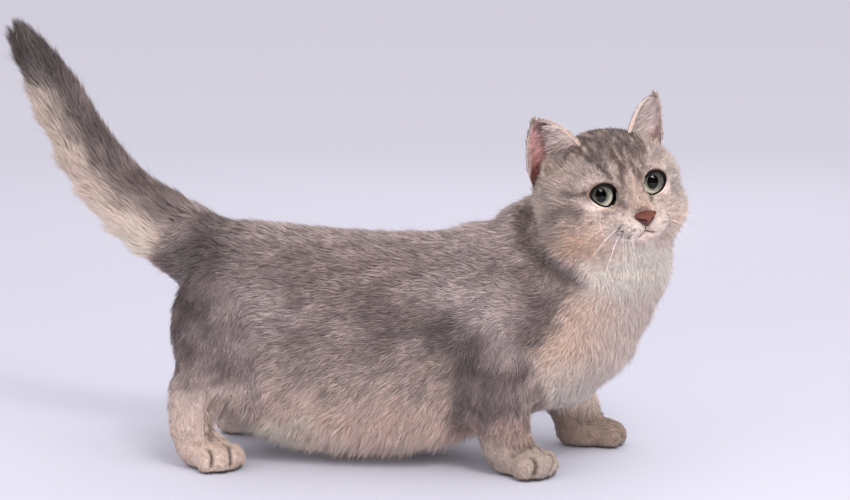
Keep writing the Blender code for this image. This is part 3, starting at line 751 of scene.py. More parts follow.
def plain(colour, count):
    """The same colour in every row."""
    return np.tile(colour, (count, 1))


# %% The markings of trunk and legs
def body_colours(places, tail, leg, paw):
    """Colour of trunk, legs and tail. tail, leg and paw are the shares of those parts at each place."""
    x, y, z = places.T
    slow, mottle = waves(places, 0.060, 1), waves(places, 0.017, 2)
    flank, patchy = places[:, ::2], 0.92 + 0.25 * mottle
    belly_painted_light = np.interp(x, (-0.06, 0.03), (1.20, 0.94))[:, None]
    bib_edge = 0.150 + np.maximum(0, z - 0.078) * 0.49 + 0.005 * mottle
    bib = step(-0.010, 0.016, x - bib_edge) * (1 - tail)
    bib_middle = 0.55 * bib * step(0.050, 0.016, x - bib_edge) * step(0.07, 0.10, z) * step(0.150, 0.130, z)
    far_front_light_and_shade = (x > 0) * (y > 0)
    # Painted light and shade over the coat's own tone: the paler top of the back is painted light. The pale
    # patches on shoulder and back and the dark ones on rump and upper arm are partly coat tone and partly
    # painted light and shade. The belly tone is raised towards its hind end: painted light against the shade
    # under it.
    return painted(
        plain(TAUPE, len(places)),
        (0.48 + 0.42 * slow + 0.45 * mottle, SLATE),
        (0.60 * step(0.145, 0.175, z + 0.006 * slow), ASH),
        (0.75 * stroke(flank, (0.092, 0.134), (0.126, 0.126), 0.020), ASH),
        (0.55 * stroke(flank, (-0.066, 0.140), (-0.040, 0.120), 0.022), ASH),
        (patchy * stroke(flank, (-0.090, 0.160), (-0.100, 0.128), 0.028), SLATE * 0.54),
        (patchy * stroke(flank, (0.090, 0.108), (0.113, 0.078), 0.017), SLATE * 0.56),
        ((0.50 * step(0.110, 0.065, z) + 0.15 * mottle) * (1 - leg), FAWN),
        (step(0.076, 0.036, z + 0.012 * mottle) * (1 - leg), BELLY * belly_painted_light),
        (bib, CREAM),
        (bib * step(0.095, 0.060, z), SNOW),
        (bib_middle, APRICOT),
        (bib * step(0.125, 0.150, z), SNOW),
        (leg * (x > 0) * 0.5 * step(0.085, 0.060, z), SLATE),
        (leg * step(0.052, 0.036, z + 0.006 * mottle) * 0.8, TAUPE * np.array((1.15, 1.05, 0.95))),
        (leg * (x < 0) * step(0.075, 0.045, z + 0.006 * mottle) * 0.8, CREAM),
        (np.clip(paw, 0, 1) * 0.8 + leg * step(0.035, 0.02, z) * 0.5,
         FAWN * np.where(x > 0, 0.52, 0.84)[:, None]),
        # Far foreleg: painted paler above as painted light, and its paw dark brown, partly its own tone and
        # partly painted shade.
        (leg * far_front_light_and_shade * step(0.080, 0.050, z), CREAM),
        (0.8 * np.clip(paw + leg, 0, 1) * far_front_light_and_shade * step(0.040, 0.022, z), APRICOT * 0.36))


def tail_colours(places, normals):
    """Dark above, darkest at the tip and cream along the feathered underside."""
    mottle = waves(places, 0.016, 3)
    under = -0.78 * normals[:, 0] - 0.62 * normals[:, 2]
    tip = step(0.262, 0.290, places[:, 2])
    colours = painted(plain(TAUPE, len(places)), (0.80 + 0.3 * mottle, SLATE),
                      (step(-0.60, 0.35, under + 0.15 * mottle) * (1 - tip), CREAM))
    colours = colours * np.interp(places[:, 2], (0.16, 0.22, 0.25), (1.10, 0.84, 0.78))[:, None]
    return toward(colours, tip * 0.9, SLATE * 0.42)


# %% [markdown]
# ## The markings of the head
#
# The face is painted on the head's own axes. The order of the layers matters: the broad tones come first,
# then the dark cap with its point between the brows, the pale muzzle and chin, and last the fine dark
# strokes at the corners of the eyes and the dots from which the whiskers grow.

# %% Places on the face
WHISKER_ROWS = (((0.0462, 0.0206, -0.0206), (0.0545, 0.0118, -0.0272), 4),
                ((0.0478, 0.0206, -0.0250), (0.0535, 0.0138, -0.0306), 4),
                ((0.0470, 0.0196, -0.0292), (0.0512, 0.0150, -0.0328), 3))
BROWS = (((0.035, -0.0193, 0.0235), (0.0413, -0.0142, 0.0100)),
         ((0.0385, 0.0100, 0.0230), (0.0423, 0.0127, 0.0110)))


def whisker_roots():
    """Where each whisker grows on the left side, with its row and its number in the row."""
    for row, (start, end, count) in enumerate(WHISKER_ROWS):
        for n in range(count):
            yield row, n, Vector(start).lerp(Vector(end), n / (count - 1))


# %% The markings of the head
def head_colours(face, places):
    """Colour of the head, from places along its own axes."""
    across, above = np.abs(face[:, 1]), face[:, 2]
    half = mirrored(face)
    mottle, fine = waves(places, 0.014, 4), waves(places, 0.006, 5)
    strands = waves(face * np.array((0.35, 1.6, 0.35)), 0.006, 6)
    v_edge = above + 0.002 - (across - 0.006) * 1.45 + 0.003 * fine
    brow = step(-0.003, 0.006, v_edge) * step(0.042, 0.022, across + 0.004 * mottle)
    brow *= step(-0.004, 0.004, above)
    brow *= 1 - 0.8 * blot(face, (0.046, 0.0, 0.004), (0.014, 0.0036, 0.010))
    # Painted light: the far cheek is made paler than the near one.
    far_cheek_light = 0.5 * step(0.028, 0.042, face[:, 1]) * step(0.010, 0.022, face[:, 0])
    below_eye = 0.8 * step(0.0158, 0.0146, to_nearest_eye(places)) * step(0.000, -0.006, above)
    return painted(
        plain(FAWN, len(face)),
        (0.30 + 0.35 * mottle + 0.3 * fine, TAUPE),
        (brow * (0.85 + 0.20 * mottle + 0.40 * strands), SLATE * np.array((0.74, 0.64, 0.57))),
        (0.55 * step(-0.005, -0.030, face[:, 0]), TAUPE),
        (0.75 * stroke(half, (0.0316, 0.0361, -0.0069), (0.0122, 0.0544, -0.0096), 0.0065), SLATE * 0.85),
        (0.45 * stroke(half, (0.0290, 0.0370, -0.0180), (0.0100, 0.0560, -0.0240), 0.0040), TAUPE),
        (0.80 * blot(face, (0.027, 0.042, -0.031), (0.020, 0.018, 0.012)),
         APRICOT * np.array((1.0, 0.96, 0.90))),
        (step(-0.038, -0.050, above) * step(0.052, 0.036, across), SNOW),
        (0.55 * blot(face, (0.050, 0.0, -0.010), (0.014, 0.0075, 0.012)), APRICOT * 0.76),
        (0.75 * stroke(half, (0.0290, 0.0340, 0.0180), (0.0425, 0.0150, 0.0120), 0.0060), TAUPE * 0.9),
        (0.60 * blot(face, (0.0415, 0.0102, 0.0150), (0.006, 0.0024, 0.0066)), CREAM),
        (blot(face, (0.048, 0.0135, -0.028), (0.018, 0.0120, 0.0090)) * 1.2,
         WHITE * np.array((0.82, 0.86, 0.88))),
        (1.2 * blot(face, (0.040, 0.0, -0.043), (0.014, 0.014, 0.009)), SNOW),
        (below_eye, WHITE),
        *((0.9 * stroke(face, start, end, 0.0021), UMBER) for start, end in BROWS),
        (0.7 * stroke(half, (0.044, 0.0090, 0.0040), (0.0491, 0.0062, -0.0052), 0.0016), UMBER * 1.5),
        (1.2 * stroke(half, (0.0335, 0.0325, 0.0040), (0.0250, 0.0440, 0.0044), 0.0026), UMBER * 1.2),
        (far_cheek_light, WHITE * np.array((0.94, 1.0, 1.05))),
        (0.85 * stroke(half, (0.0385, 0.0114, -0.0050), (0.0465, 0.0104, -0.0118), 0.0020), UMBER * 1.4),
        *((1.6 * blot(face, root, (0.003, 0.0016, 0.0008)), UMBER * 0.9) for _, _, root in whisker_roots()))


# %% One function for all markings
def markings(places, normals, zones):
    """Colour of the coat at each place. zones: shares of head, tail, leg, paw and painted fold shade there.
    """
    head, tail, leg, paw, lines = zones.T
    colours = body_colours(places, tail, leg, paw)
    colours += tail[:, None] * (tail_colours(places, normals) - colours)
    colours += head[:, None] * (head_colours(to_head(places), places) - colours)
    # lines is the painted shade of the folds and clefts.
    return painted(colours, (lines, UMBER * 1.3), (paw * step(0.0034, 0.0016, places[:, 2]), UMBER))


def ear_colours():
    """Pink in the hollow, raw red in the notch, pale at the rim and grey behind."""
    count = len(across)
    front = painted(
        plain(PINK, count),
        (step(0.60, 0.20, across) * 0.85 * (ear_side < 0), MAUVE * 0.40),
        ((ear_side > 0) * 0.85, tone(238, 222, 221)),
        (step(0.45, 0.0, reach) * step(0.35, 0.75, across) * 0.75, RAW),
        (step(0.22, 0.0, reach) * 0.7, RAW * 0.7))
    front = front * (1 + 0.30 * waves(points[flesh_count:], 0.006, 21))[:, None]
    front = painted(front, (rim * 0.9, CREAM), (rim * step(0.5, 0.7, across) * 0.8, MAUVE))
    return front + behind[:, None] * (toward(plain(TAUPE, count), 0.35 * reach, SLATE) - front)


parts = (on_head, kind_of("tail"), kind_of("foreleg", "hindleg"), kind_of("forepaw", "hindpaw"))
zones = over_ears(np.column_stack((relaxed(np.column_stack(parts), 10), shaded_folds)))
flesh = slice(0, flesh_count)
skin_colours = np.vstack((markings(points[flesh], normals[flesh], zones[flesh]), ear_colours()))
print("mean tone of the skin:", skin_colours.mean(axis=0).round(3))


# %% Colour of the skin
def paint(piece, colours):
    """Stores a colour for each point of a piece."""
    layer = piece.data.color_attributes.new("coat", "FLOAT_COLOR", "POINT")
    layer.data.foreach_set("color", np.column_stack((colours, np.ones(len(colours)))).ravel())


def coat_finish(name, darker, grain, bump):
    """The coat's own colour from its attribute, with fine streaks across it."""
    made = Finish(name, Roughness=0.62, Specular_IOR_Level=0.25, Sheen_Weight=0.25, Sheen_Roughness=0.45)
    colour = made.node("Attribute", {"attribute_name": "coat"}).out("Color")
    streak = made.noise(grain, 3.0)
    shade = made.node("ValToRGB", {"stops": [(0.25, (darker,) * 3), (0.75, (1.0,) * 3)]}, {"Fac": streak})
    made.feed(Base_Color=made.mix(1.0, colour, shade, "MULTIPLY"))
    if bump:
        made.bump(streak, bump)
    return made.material


paint(skin, skin_colours)

# %% [markdown]
# ## An unwrap of the skin
#
# Thousands of tufts can't each have their own place in a picture. Each one borrows a tiny patch where its
# root stands on the unwrapped skin, so that neighbours share nearby places on it.

# %% An unwrap of the skin
bpy.context.view_layer.objects.active = skin
skin.select_set(True)
bpy.ops.object.mode_set(mode="EDIT")
bpy.ops.mesh.select_all(action="SELECT")
bpy.ops.uv.smart_project(angle_limit=math.radians(66), island_margin=0.002)
bpy.ops.object.mode_set(mode="OBJECT")
skin.select_set(False)
skin.data.uv_layers[0].name = "OFBake"
skin.data.calc_loop_triangles()
triangle_count = len(skin.data.loop_triangles)
triangles = read(skin.data.loop_triangles, "vertices", 3, triangle_count, np.int32)
triangle_loops = read(skin.data.loop_triangles, "loops", 3, triangle_count, np.int32)
skin_uv = read(skin.data.uv_layers[0].uv, "vector", 2, len(skin.data.loops))
areas = np.linalg.norm(np.cross(points[triangles[:, 1]] - points[triangles[:, 0]],
                                points[triangles[:, 2]] - points[triangles[:, 0]]), axis=1) / 2
print("skin area:", round(float(areas.sum()) * 1e4), "square cm in", triangle_count, "triangles")

# %% The skin and the ears as two pieces
def only(name, keep):
    """A copy of the skin that keeps the points where keep is true."""
    bm = bmesh.new()
    bm.from_mesh(skin.data)
    bm.verts.ensure_lookup_table()
    bmesh.ops.delete(bm, geom=[bm.verts[n] for n in np.flatnonzero(~keep)], context="VERTS")
    return new_piece(name, bm)


body_skin, ear_skin = only("body_skin", on_skin), only("ear_leaves", ~on_skin)
body_skin.data.materials.append(coat_finish("skin under the coat", 0.55, 900.0, 0.0008))
ear_skin.data.materials.append(coat_finish("ear skin", 0.75, 500.0, 0.0002))
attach(body_skin, BODY)
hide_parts(*FLESH)
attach(ear_skin, BODY)
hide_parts("ear_right", "ear_left")
bpy.data.objects.remove(skin)

# %% [markdown]
# ## One tuft, copied by the thousand
#
# A tuft is a spindle: a pole at the root, a ring of three points where it is widest and a pole at the tip.
# bmesh makes one on its own scale, and numpy bends a copy of it for every root: up from the skin, over
# along the lie, and a little towards the tip of the nearest clump, because hairs stick together in points.

# %% One tuft
PATCH, MOST_TUFTS, FLOOR_GAP = 0.0028, 32000, 0.0006


def tuft_pattern(belly):
    """A closed spindle along Z from 0 to 1, widest at this height."""
    bm = bmesh.new()
    bmesh.ops.create_circle(bm, segments=3, radius=1.0)
    bmesh.ops.translate(bm, vec=(0, 0, belly), verts=bm.verts)
    for height in (0.0, 1.0):
        bmesh.ops.create_vert(bm, co=(0, 0, height))
    bmesh.ops.convex_hull(bm, input=bm.verts)
    bmesh.ops.recalc_face_normals(bm, faces=bm.faces)
    shape = np.array([v.co for v in bm.verts])
    faces = [[v.index for v in f.verts] for f in bm.faces]
    bm.free()
    return shape, faces


WIDEST = 0.42
TUFT = tuft_pattern(WIDEST)
print("a tuft has", len(TUFT[0]), "points and", len(TUFT[1]), "faces")


# %% Growing tufts
def scattered(count, weight):
    """Roots spread over the skin: their triangle and their place in it."""
    chance = np.cumsum(areas * weight)
    chosen = np.searchsorted(chance, draw.uniform(0, chance[-1], count))
    a, b = np.sqrt(draw.uniform(size=count)), draw.uniform(size=count)
    return chosen, np.column_stack((1 - a, a * (1 - b), a * b))


def at_roots(values, chosen, share):
    """A field of the skin read at the roots."""
    return np.einsum("ij,ij...->i...", share, values[triangles[chosen]])


def bent(pattern, root, out, way, side, reach, width, angles, pull, thick):
    """Copies of the pattern, one for each root. angles are at root and tip, pull moves the tip sideways."""
    shape = pattern[0]
    low, high = angles[:, :1], angles[:, 1:]
    turn = np.where(np.abs(high - low) < 1e-3, 1e-3, high - low)
    t = shape[None, :, 2]
    angle = low + turn * t
    along = (np.sin(angle) - np.sin(low)) / turn * reach[:, None]
    rise = (np.cos(low) - np.cos(angle)) / turn * reach[:, None]
    places = (root[:, None] + way[:, None] * along[..., None] + out[:, None] * rise[..., None]
              + pull[:, None] * (t * t)[..., None]
              + side[:, None] * (shape[None, :, 0, None] * width[:, None, None] / 2)
              + (out[:, None] * np.cos(angle)[..., None] - way[:, None] * np.sin(angle)[..., None])
              * (shape[None, :, 1, None] * (width * thick)[:, None, None] / 2))
    places[..., 2] = np.maximum(places[..., 2], FLOOR_GAP)
    return places


# %% Many tufts as one piece
def tuft_object(name, pattern, places, colours, uv, finish):
    """One mesh from many bent copies of the pattern."""
    shape, faces = pattern
    count, corners = len(places), len(shape)
    loops = np.concatenate(faces)
    corner_of = np.arange(count)[:, None] * corners + loops[None]
    mesh = bpy.data.meshes.new(name)
    mesh.vertices.add(count * corners)
    mesh.vertices.foreach_set("co", places.ravel().astype(np.float32))
    mesh.loops.add(count * len(loops))
    mesh.loops.foreach_set("vertex_index", corner_of.ravel().astype(np.int32))
    mesh.polygons.add(count * len(faces))
    starts = np.arange(count * len(faces)) * 3
    mesh.polygons.foreach_set("loop_start", starts.astype(np.int32))
    mesh.update(calc_edges=True)
    mesh.shade_smooth()
    layer = mesh.uv_layers.new(name="OFBake")
    patch = np.column_stack((shape[loops, 0] * 0.5, shape[loops, 2] - 0.5)) * PATCH
    layer.uv.foreach_set("vector", (uv[:, None] + patch[None]).ravel().astype(np.float32))
    made = bpy.data.objects.new(name, mesh)
    bpy.context.scene.collection.objects.link(made)
    paint(made, colours.reshape(-1, 3))
    made.data.materials.append(finish)
    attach(made, BODY)
    return made


# %% [markdown]
# ## Clumps, streaks and calm fur
#
# Real fur is never even. Each tuft leans towards the leader of its clump, and a clump shares one mood, a
# little lighter or darker than its neighbours. Guard hairs are paler or darker still. Along each tuft the
# tone runs from dark at the root to light at the tip; the dark root is painted shade for roots that lie
# deep in the coat. On the throat and the bib the fur is calm: flatter, less clumped and even, with less of
# that painted shade.

# %% Clumps
COAT = coat_finish("coat", 0.88, 1400.0, 0.0)
# Powers on the colour from root to tip: above 1 at the root is painted shade deep in the coat.
ROOT_SHADE_TO_TIP = (1.50, 1.08, 0.86)
ROOT_DEPTH, MOST_PULL, PALE_GUARDS, DARK_GUARDS = 0.0006, 0.4, 0.2, 0.88


def clump_of(root, gap, seed):
    """For each tuft the number of the clump leader nearest to it."""
    own = np.random.default_rng(seed)
    leaders = own.choice(len(root), max(8, int(len(root) / gap)), replace=False)
    tree = KDTree(len(leaders))
    for n, leader in enumerate(leaders):
        tree.insert(root[leader], n)
    tree.balance()
    return leaders[np.array([tree.find(r)[1] for r in root])]


def streaked(colours, wild, shade):
    """A colour for each point of each tuft, with painted shade at its root where the fur is wild."""
    root_shade = np.interp(TUFT[0][:, 2], (0.0, WIDEST, 1.0), ROOT_SHADE_TO_TIP)
    root_shade = 1 + wild[:, None] * (root_shade - 1)
    tinted = np.clip(colours, 0.004, 0.98)[:, None] ** root_shade[..., None]
    return np.clip(tinted * np.clip(shade, 0.45, 1.7)[:, None, None], 0, 0.93)


# %% Growing one stretch of coat
def grow(name, count, weight, width, angles=(40, 4), jitter=0.16, gap=12.0, strength=0.38, ticking=0.16,
         guard=0.30, stretch=1.0, tint=None):
    """A stretch of coat. weight says where its roots stand, from 0 to 1 on each point of the skin."""
    chosen, share = scattered(count, weight[triangles].mean(axis=1))
    root, out = at_roots(points, chosen, share), unit(at_roots(normals, chosen, share))
    way = unit(at_roots(lie, chosen, share))
    reach = at_roots(length, chosen, share) * draw.uniform(0.60, 1.18, count) * stretch
    wild = 1 - 0.7 * np.clip(at_roots(calm, chosen, share), 0, 1)
    swirl = waves(root, 0.034, 11) * 0.24 + waves(root, 0.012, 12) * 0.16
    sway = swirl + draw.normal(0, jitter, count) * (1.7 - 0.7 * wild)
    way = unit(way + np.cross(out, way) * sway[:, None])
    way = unit(way - out * np.sum(way * out, axis=1)[:, None])
    lift = waves(root, 0.022, 13) * 5 + draw.normal(0, 5, count)
    bend = np.radians(np.column_stack((angles[0] + lift, angles[1] + lift * 0.6)))
    tip = root + way * reach[:, None] * 0.85
    nearest = clump_of(root, gap, 14)
    mood = draw.normal(0, 1, count)
    pull = (tip[nearest] - tip) * (strength * wild)[:, None]
    pull *= np.minimum(1, MOST_PULL * reach / np.maximum(np.linalg.norm(pull, axis=1), 1e-9))[:, None]
    side = unit(np.cross(out, way) + out * draw.normal(0, 0.35, count)[:, None])
    wide = width * draw.uniform(0.75, 1.3, count)
    places = bent(TUFT, root - out * ROOT_DEPTH, out, way, side, reach, wide, bend, pull, 0.20 + 0.35 * wild)
    if tint is None:
        colours = markings(root, out, at_roots(zones, chosen, share))
    else:
        colours = at_roots(skin_colours, chosen, share) if isinstance(tint, str) else plain(tint, count)
    dull = 1 - 0.75 * step(0.35, 0.75, colours.mean(axis=1))
    odd = draw.uniform(size=count)
    guards = guard * (1.0 * (odd < PALE_GUARDS) - 0.7 * (odd > DARK_GUARDS))
    tinted = streaked(colours, wild, 1 + dull * (ticking * (0.6 * mood[nearest] + 0.9 * mood) + guards))
    uv = np.einsum("ij,ijk->ik", share, skin_uv[triangle_loops[chosen]])
    for n, first in enumerate(range(0, count, MOST_TUFTS)):
        part = slice(first, first + MOST_TUFTS)
        tuft_object(f"{name}_{n + 1}", TUFT, places[part], tinted[part], uv[part], COAT)
    print(name, "has", count, "tufts")


# %% [markdown]
# ## The coat, part by part
#
# Each part of the body gets its own tufts: long and loose on the tail and under the belly, short and flat
# on the paws, finest on the face. No root may stand inside an eye socket or under the nose, and none on the
# dark line of the mouth or in a cleft between the toes. The roots are drawn in a fixed order, so every run
# gives the same coat.

# %% Where no hair grows
NOSE_PLACE, NOSE_ROOM = (0.0545, 0.0, -0.0230), (0.0072, 0.0084, 0.0046)
face = to_head(points)
nose_gap = np.linalg.norm((face - np.array(NOSE_PLACE)) / np.array(NOSE_ROOM), axis=1)
bare = (to_nearest_eye(points) > 0.0127) * (nose_gap > 1.0)
for start, end in zip(MOUTH, MOUTH[1:]):
    bare = bare * (1 - step(0.035, 0.040, face[:, 0]) * stroke(mirrored(face)[:, 1:], start, end, 0.0011))
short, fringe = over_ears(short), over_ears(fringe)
clefts, calm = over_ears(np.clip(1.6 * shaded_folds, 0, 1)), over_ears(calm)
paws = over_ears(kind_of("forepaw", "hindpaw"))
print("share of the skin that is bare:", round(float((bare < 0.5).mean()), 3))

# %% The coat of the body
grow("coat_torso", 76000, over_ears(kind_of("torso")), 0.00048, angles=(42, 6), jitter=0.24, ticking=0.32,
     guard=0.55)
grow("coat_fringe", 15000, fringe, 0.00042, angles=(50, 46), gap=18.0, strength=0.5, ticking=0.14)
grow("coat_neck", 24000, over_ears(kind_of("neck")), 0.00048, angles=(36, 4), jitter=0.22, ticking=0.28,
     guard=0.45)
grow("coat_bib", 8000, calm * bare, 0.00034, angles=(42, 12), jitter=0.30, strength=0.2, ticking=0.08,
     guard=0.0)
grow("coat_tail", 24000, over_ears(kind_of("tail")), 0.00064, angles=(38, 6), gap=14.0)
grow("coat_legs", 22000, over_ears(kind_of("foreleg", "hindleg")), 0.00046, jitter=0.24, ticking=0.28,
     guard=0.4)
grow("coat_paws", 14000, paws * (1 - clefts), 0.00044, angles=(34, 6), ticking=0.24)
grow("coat_head", 52000, over_ears(on_head) * bare * (1 + 1.2 * short), 0.00042, angles=(32, 5), jitter=0.20,
     gap=14.0, strength=0.5, ticking=0.28, guard=0.45)
grow("coat_guard", 3000, over_ears(np.ones(flesh_count)) * bare * (1 - paws), 0.00030, angles=(48, 22),
     stretch=1.35, strength=0.1)

# %% The coat of the ears
grow("coat_ear_back", 3600, on_ear_back, 0.00048, tint="skin")
grow("coat_ear_rim", 4600, on_ear_rim, 0.00040, angles=(40, 10), tint="skin", ticking=0.15, guard=0.1)
grow("coat_ear_down", 2400, on_ear_front, 0.00032, angles=(36, 8), tint="skin", stretch=1.4, ticking=0.7)
grow("coat_ear_plumes", 1100, furnished, 0.00036, angles=(40, 6), stretch=3.6, tint=PLUME, gap=5.0,
     ticking=0.9)
grow("coat_ear_tips", 40, on_ear_tip, 0.00034, angles=(65, 50), stretch=1.1, tint=SLATE * 0.5, gap=20.0)

# %% [markdown]
# ## The eyes
#
# A cat's eye is a ball with a wide clear window. Behind the window lies the iris, a ring of fine spokes
# round a dark opening, and the depth between them is what makes an eye look alive. The ball is spun round
# the line of sight, the iris is a ring of its own with an oval opening, and the window is a thin dome in
# front of both.

# %% Parts of an eye
BALL, IRIS, SPOKES = 0.0117, 0.0086, 96
PUPIL_HALF, PUPIL_TILT = (0.0044, 0.0050), math.radians(-6)
IRIS_PLANE = math.sqrt(BALL ** 2 - IRIS ** 2)
DOME_TOP = 0.0130
LOOK = HEAD @ Matrix.Rotation(math.radians(-1.5), 3, "Z")


def eye_part(name, side, bm, finish, colours=None):
    """Places a part made round the origin, looking along X, in one eye."""
    bmesh.ops.transform(bm, matrix=Matrix.Translation(EYES[side]) @ LOOK.to_4x4(), verts=bm.verts)
    bmesh.ops.recalc_face_normals(bm, faces=bm.faces)
    made = new_piece(f"{name}_{'left' if side > 0 else 'right'}", bm)
    if colours is not None:
        paint(made, colours)
    made.data.materials.append(finish)
    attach(made, BODY)
    return made


def spun(profile, steps=SPOKES):
    """A profile of points (x, radius) spun round the X axis."""
    bm = bmesh.new()
    line = [bm.verts.new((x, 0, radius)) for x, radius in profile]
    edges_made = [bm.edges.new(pair) for pair in zip(line, line[1:])]
    bmesh.ops.spin(bm, geom=line + edges_made, cent=(0, 0, 0), axis=(1, 0, 0), angle=math.tau, steps=steps,
                   use_merge=True)
    bmesh.ops.remove_doubles(bm, verts=bm.verts, dist=1e-6)
    return bm


def ball_profile():
    """From the back of the ball to the edge of the iris, then inwards behind it."""
    edge = math.acos(IRIS_PLANE / BALL)
    rim = [(BALL * math.cos(a), BALL * math.sin(a)) for a in np.linspace(math.pi, edge, 28)]
    return rim + [(IRIS_PLANE - 0.0046, IRIS * 0.8), (IRIS_PLANE - 0.0052, 0.0)]


# %% The iris
def pupil_edge(turn):
    """How far the edge of the oval pupil is from its middle."""
    across, up = math.cos(turn - PUPIL_TILT) / PUPIL_HALF[0], math.sin(turn - PUPIL_TILT) / PUPIL_HALF[1]
    return 1 / math.hypot(across, up)


def iris_ring(rows=9, wall=0.0006):
    """A dished ring from the oval pupil to the edge of the iris, with its spokes' numbers."""
    bm = bmesh.new()
    turns = [math.tau * n / SPOKES for n in range(SPOKES)]
    rings, made = [], []
    for share in [*np.linspace(0, 1, rows), 1.0]:
        back = len(rings) == rows
        x = IRIS_PLANE - 0.0010 + 0.0007 * share - (wall if back else 0.0) - 0.0003 * (1 - share) ** 3
        ring = []
        for turn in turns:
            oval = pupil_edge(turn)
            radius = oval + (IRIS - oval) * share
            ring.append(bm.verts.new((x, radius * math.cos(turn), radius * math.sin(turn))))
            made.append((share, math.cos(turn), math.sin(turn)))
        rings.append(ring)
    behind = []
    for turn, first in zip(turns, rings[0]):
        behind.append(bm.verts.new((first.co.x - 0.0007, first.co.y, first.co.z)))
        made.append((0.0, math.cos(turn), math.sin(turn)))
    rings.append(behind)
    for low, high in zip(rings, rings[1:] + rings[:1]):
        for n in range(SPOKES):
            bm.faces.new((low[n], low[(n + 1) % SPOKES], high[(n + 1) % SPOKES], high[n]))
    return bm, np.array(made)


def iris_colours(made, side):
    """Grey green, dark round the pupil, painted lid shadow above, a painted crescent of light below, fine
    spokes.
    """
    share, across, up = made.T
    turn = np.arctan2(up, across)
    own = np.random.default_rng(5)
    spokes = sum(np.sin(turn * k + own.uniform(0, 6.28)) for k in (13, 19, 29, 37)) / 4
    # lit is painted light: high below and to one side, and low above, where it paints the upper lid's shadow.
    lit = -0.85 * up - 0.45 * side * across
    colours = painted(
        plain(tone(92, 92, 80), len(share)),
        (0.75 * step(0.0, 0.55, lit) * step(0.0, 0.35, share), tone(128, 130, 116)),
        (0.80 * step(0.35, 0.95, lit) * step(0.30, 0.60, share), tone(196, 190, 176)),
        (0.75 * step(-0.1, -0.8, lit), tone(40, 36, 30)))
    colours = colours * (1 + 0.16 * spokes * (0.4 + share))[:, None]
    return toward(colours, step(0.86, 1.0, share) * 0.9, tone(48, 44, 40))


# %% The finishes of the eye
def painted_finish(name, **fixed):
    """A finish that takes its colour from the colours stored on the piece."""
    made = Finish(name, **fixed)
    made.feed(Base_Color=made.node("Attribute", {"attribute_name": "coat"}).out("Color"))
    return made


dark = Finish("dark of the eye", Base_Color=(0.006, 0.005, 0.005, 1), Roughness=1.0,
              Specular_IOR_Level=0.0).material
iris_finish = painted_finish("iris", Roughness=0.35, Coat_Weight=0.3).material
window = Finish("clear window")
glossy = window.node("BsdfGlossy", {}, {"Color": (1, 1, 1, 1), "Roughness": 0.03})
clear = window.node("BsdfTransparent", {}, {"Color": (1, 1, 1, 1)})
grazing = window.node("LayerWeight", {}, {"Blend": 0.5}).out("Facing")
blend = window.node("MixShader", {}, {0: grazing ** 4.0 * 0.2 + 0.012, 1: clear, 2: glossy})
window.plug(window.tree.nodes["Material Output"].inputs["Surface"], Wire(window, blend.node))


# %% Building the eyes
def dome_profile(edge_x, edge_radius, top, wall=0.0002):
    """A thin dome over the iris: its outside out to the edge and its inside back."""
    rise = top - edge_x
    radius = (edge_radius ** 2 + rise ** 2) / (2 * rise)
    half = math.asin(edge_radius / radius)
    outer = [(top - radius + radius * math.cos(a), radius * math.sin(a)) for a in np.linspace(0, half, 14)]
    within = radius - wall
    inner = [(top - radius + within * math.cos(a), within * math.sin(a)) for a in np.linspace(half, 0, 14)]
    return outer + inner


for side in (-1, 1):
    ball = eye_part("eyeball", side, spun(ball_profile()), dark)
    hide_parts("eye_left" if side > 0 else "eye_right")
    ring, ring_data = iris_ring()
    eye_part("iris", side, ring, iris_finish, iris_colours(ring_data, side))
    dome = spun(dome_profile(IRIS_PLANE + 0.0001, IRIS + 0.0003, DOME_TOP), 48)
    eye_part("eye_window", side, dome, window.material)
print("two eyes of", round(BALL * 2000, 1), "mm")

# %% [markdown]
# ## Tubes for lids, lips and whiskers
#
# A lid's rim, the line of a lip and a whisker are all tubes along a path whose radius changes. One function
# makes them: at each point of the path a ring of corners stands across the way, and a pole closes each end.


# %% Tubes
def tubes(name, runs, sides, finish, closed=False):
    """One piece from several runs. A run is a list of (place, radius)."""
    bm = bmesh.new()
    for run in runs:
        places, radii = [Vector(p) for p, _ in run], [r for _, r in run]
        count, rings = len(run), []
        across = None
        for n, place in enumerate(places):
            before = places[n - 1] if n or closed else place
            after = places[(n + 1) % count] if n + 1 < count or closed else place
            way = (after - before).normalized()
            across = way.orthogonal() if across is None else across
            across = (across - way * across.dot(way)).normalized()
            up = way.cross(across)
            rings.append([bm.verts.new(place + (across * math.cos(a) + up * math.sin(a)) * radii[n])
                          for a in np.arange(sides) * math.tau / sides])
        pairs = list(zip(rings, rings[1:])) + ([(rings[-1], rings[0])] if closed else [])
        for low, high in pairs:
            for n in range(sides):
                bm.faces.new((low[n], low[(n + 1) % sides], high[(n + 1) % sides], high[n]))
        if not closed:
            bm.faces.new(rings[0])
            bm.faces.new(rings[-1])
    bmesh.ops.recalc_face_normals(bm, faces=bm.faces)
    made = new_piece(name, bm)
    made.data.materials.append(finish)
    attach(made, BODY)
    return made


# %% [markdown]
# ## Lids
#
# A cat's lid is a dark rim with a soft slope behind it. Its edge is an oval on a sphere a little wider than
# the ball, drawn to a point at the inner corner and slanted up at the outer one. The rim is a closed tube
# along that edge. The slope is a closed ring of short sections, dark above and pale below, that meets the
# fur; the pale lower lid is partly its own colour and partly a painted highlight.

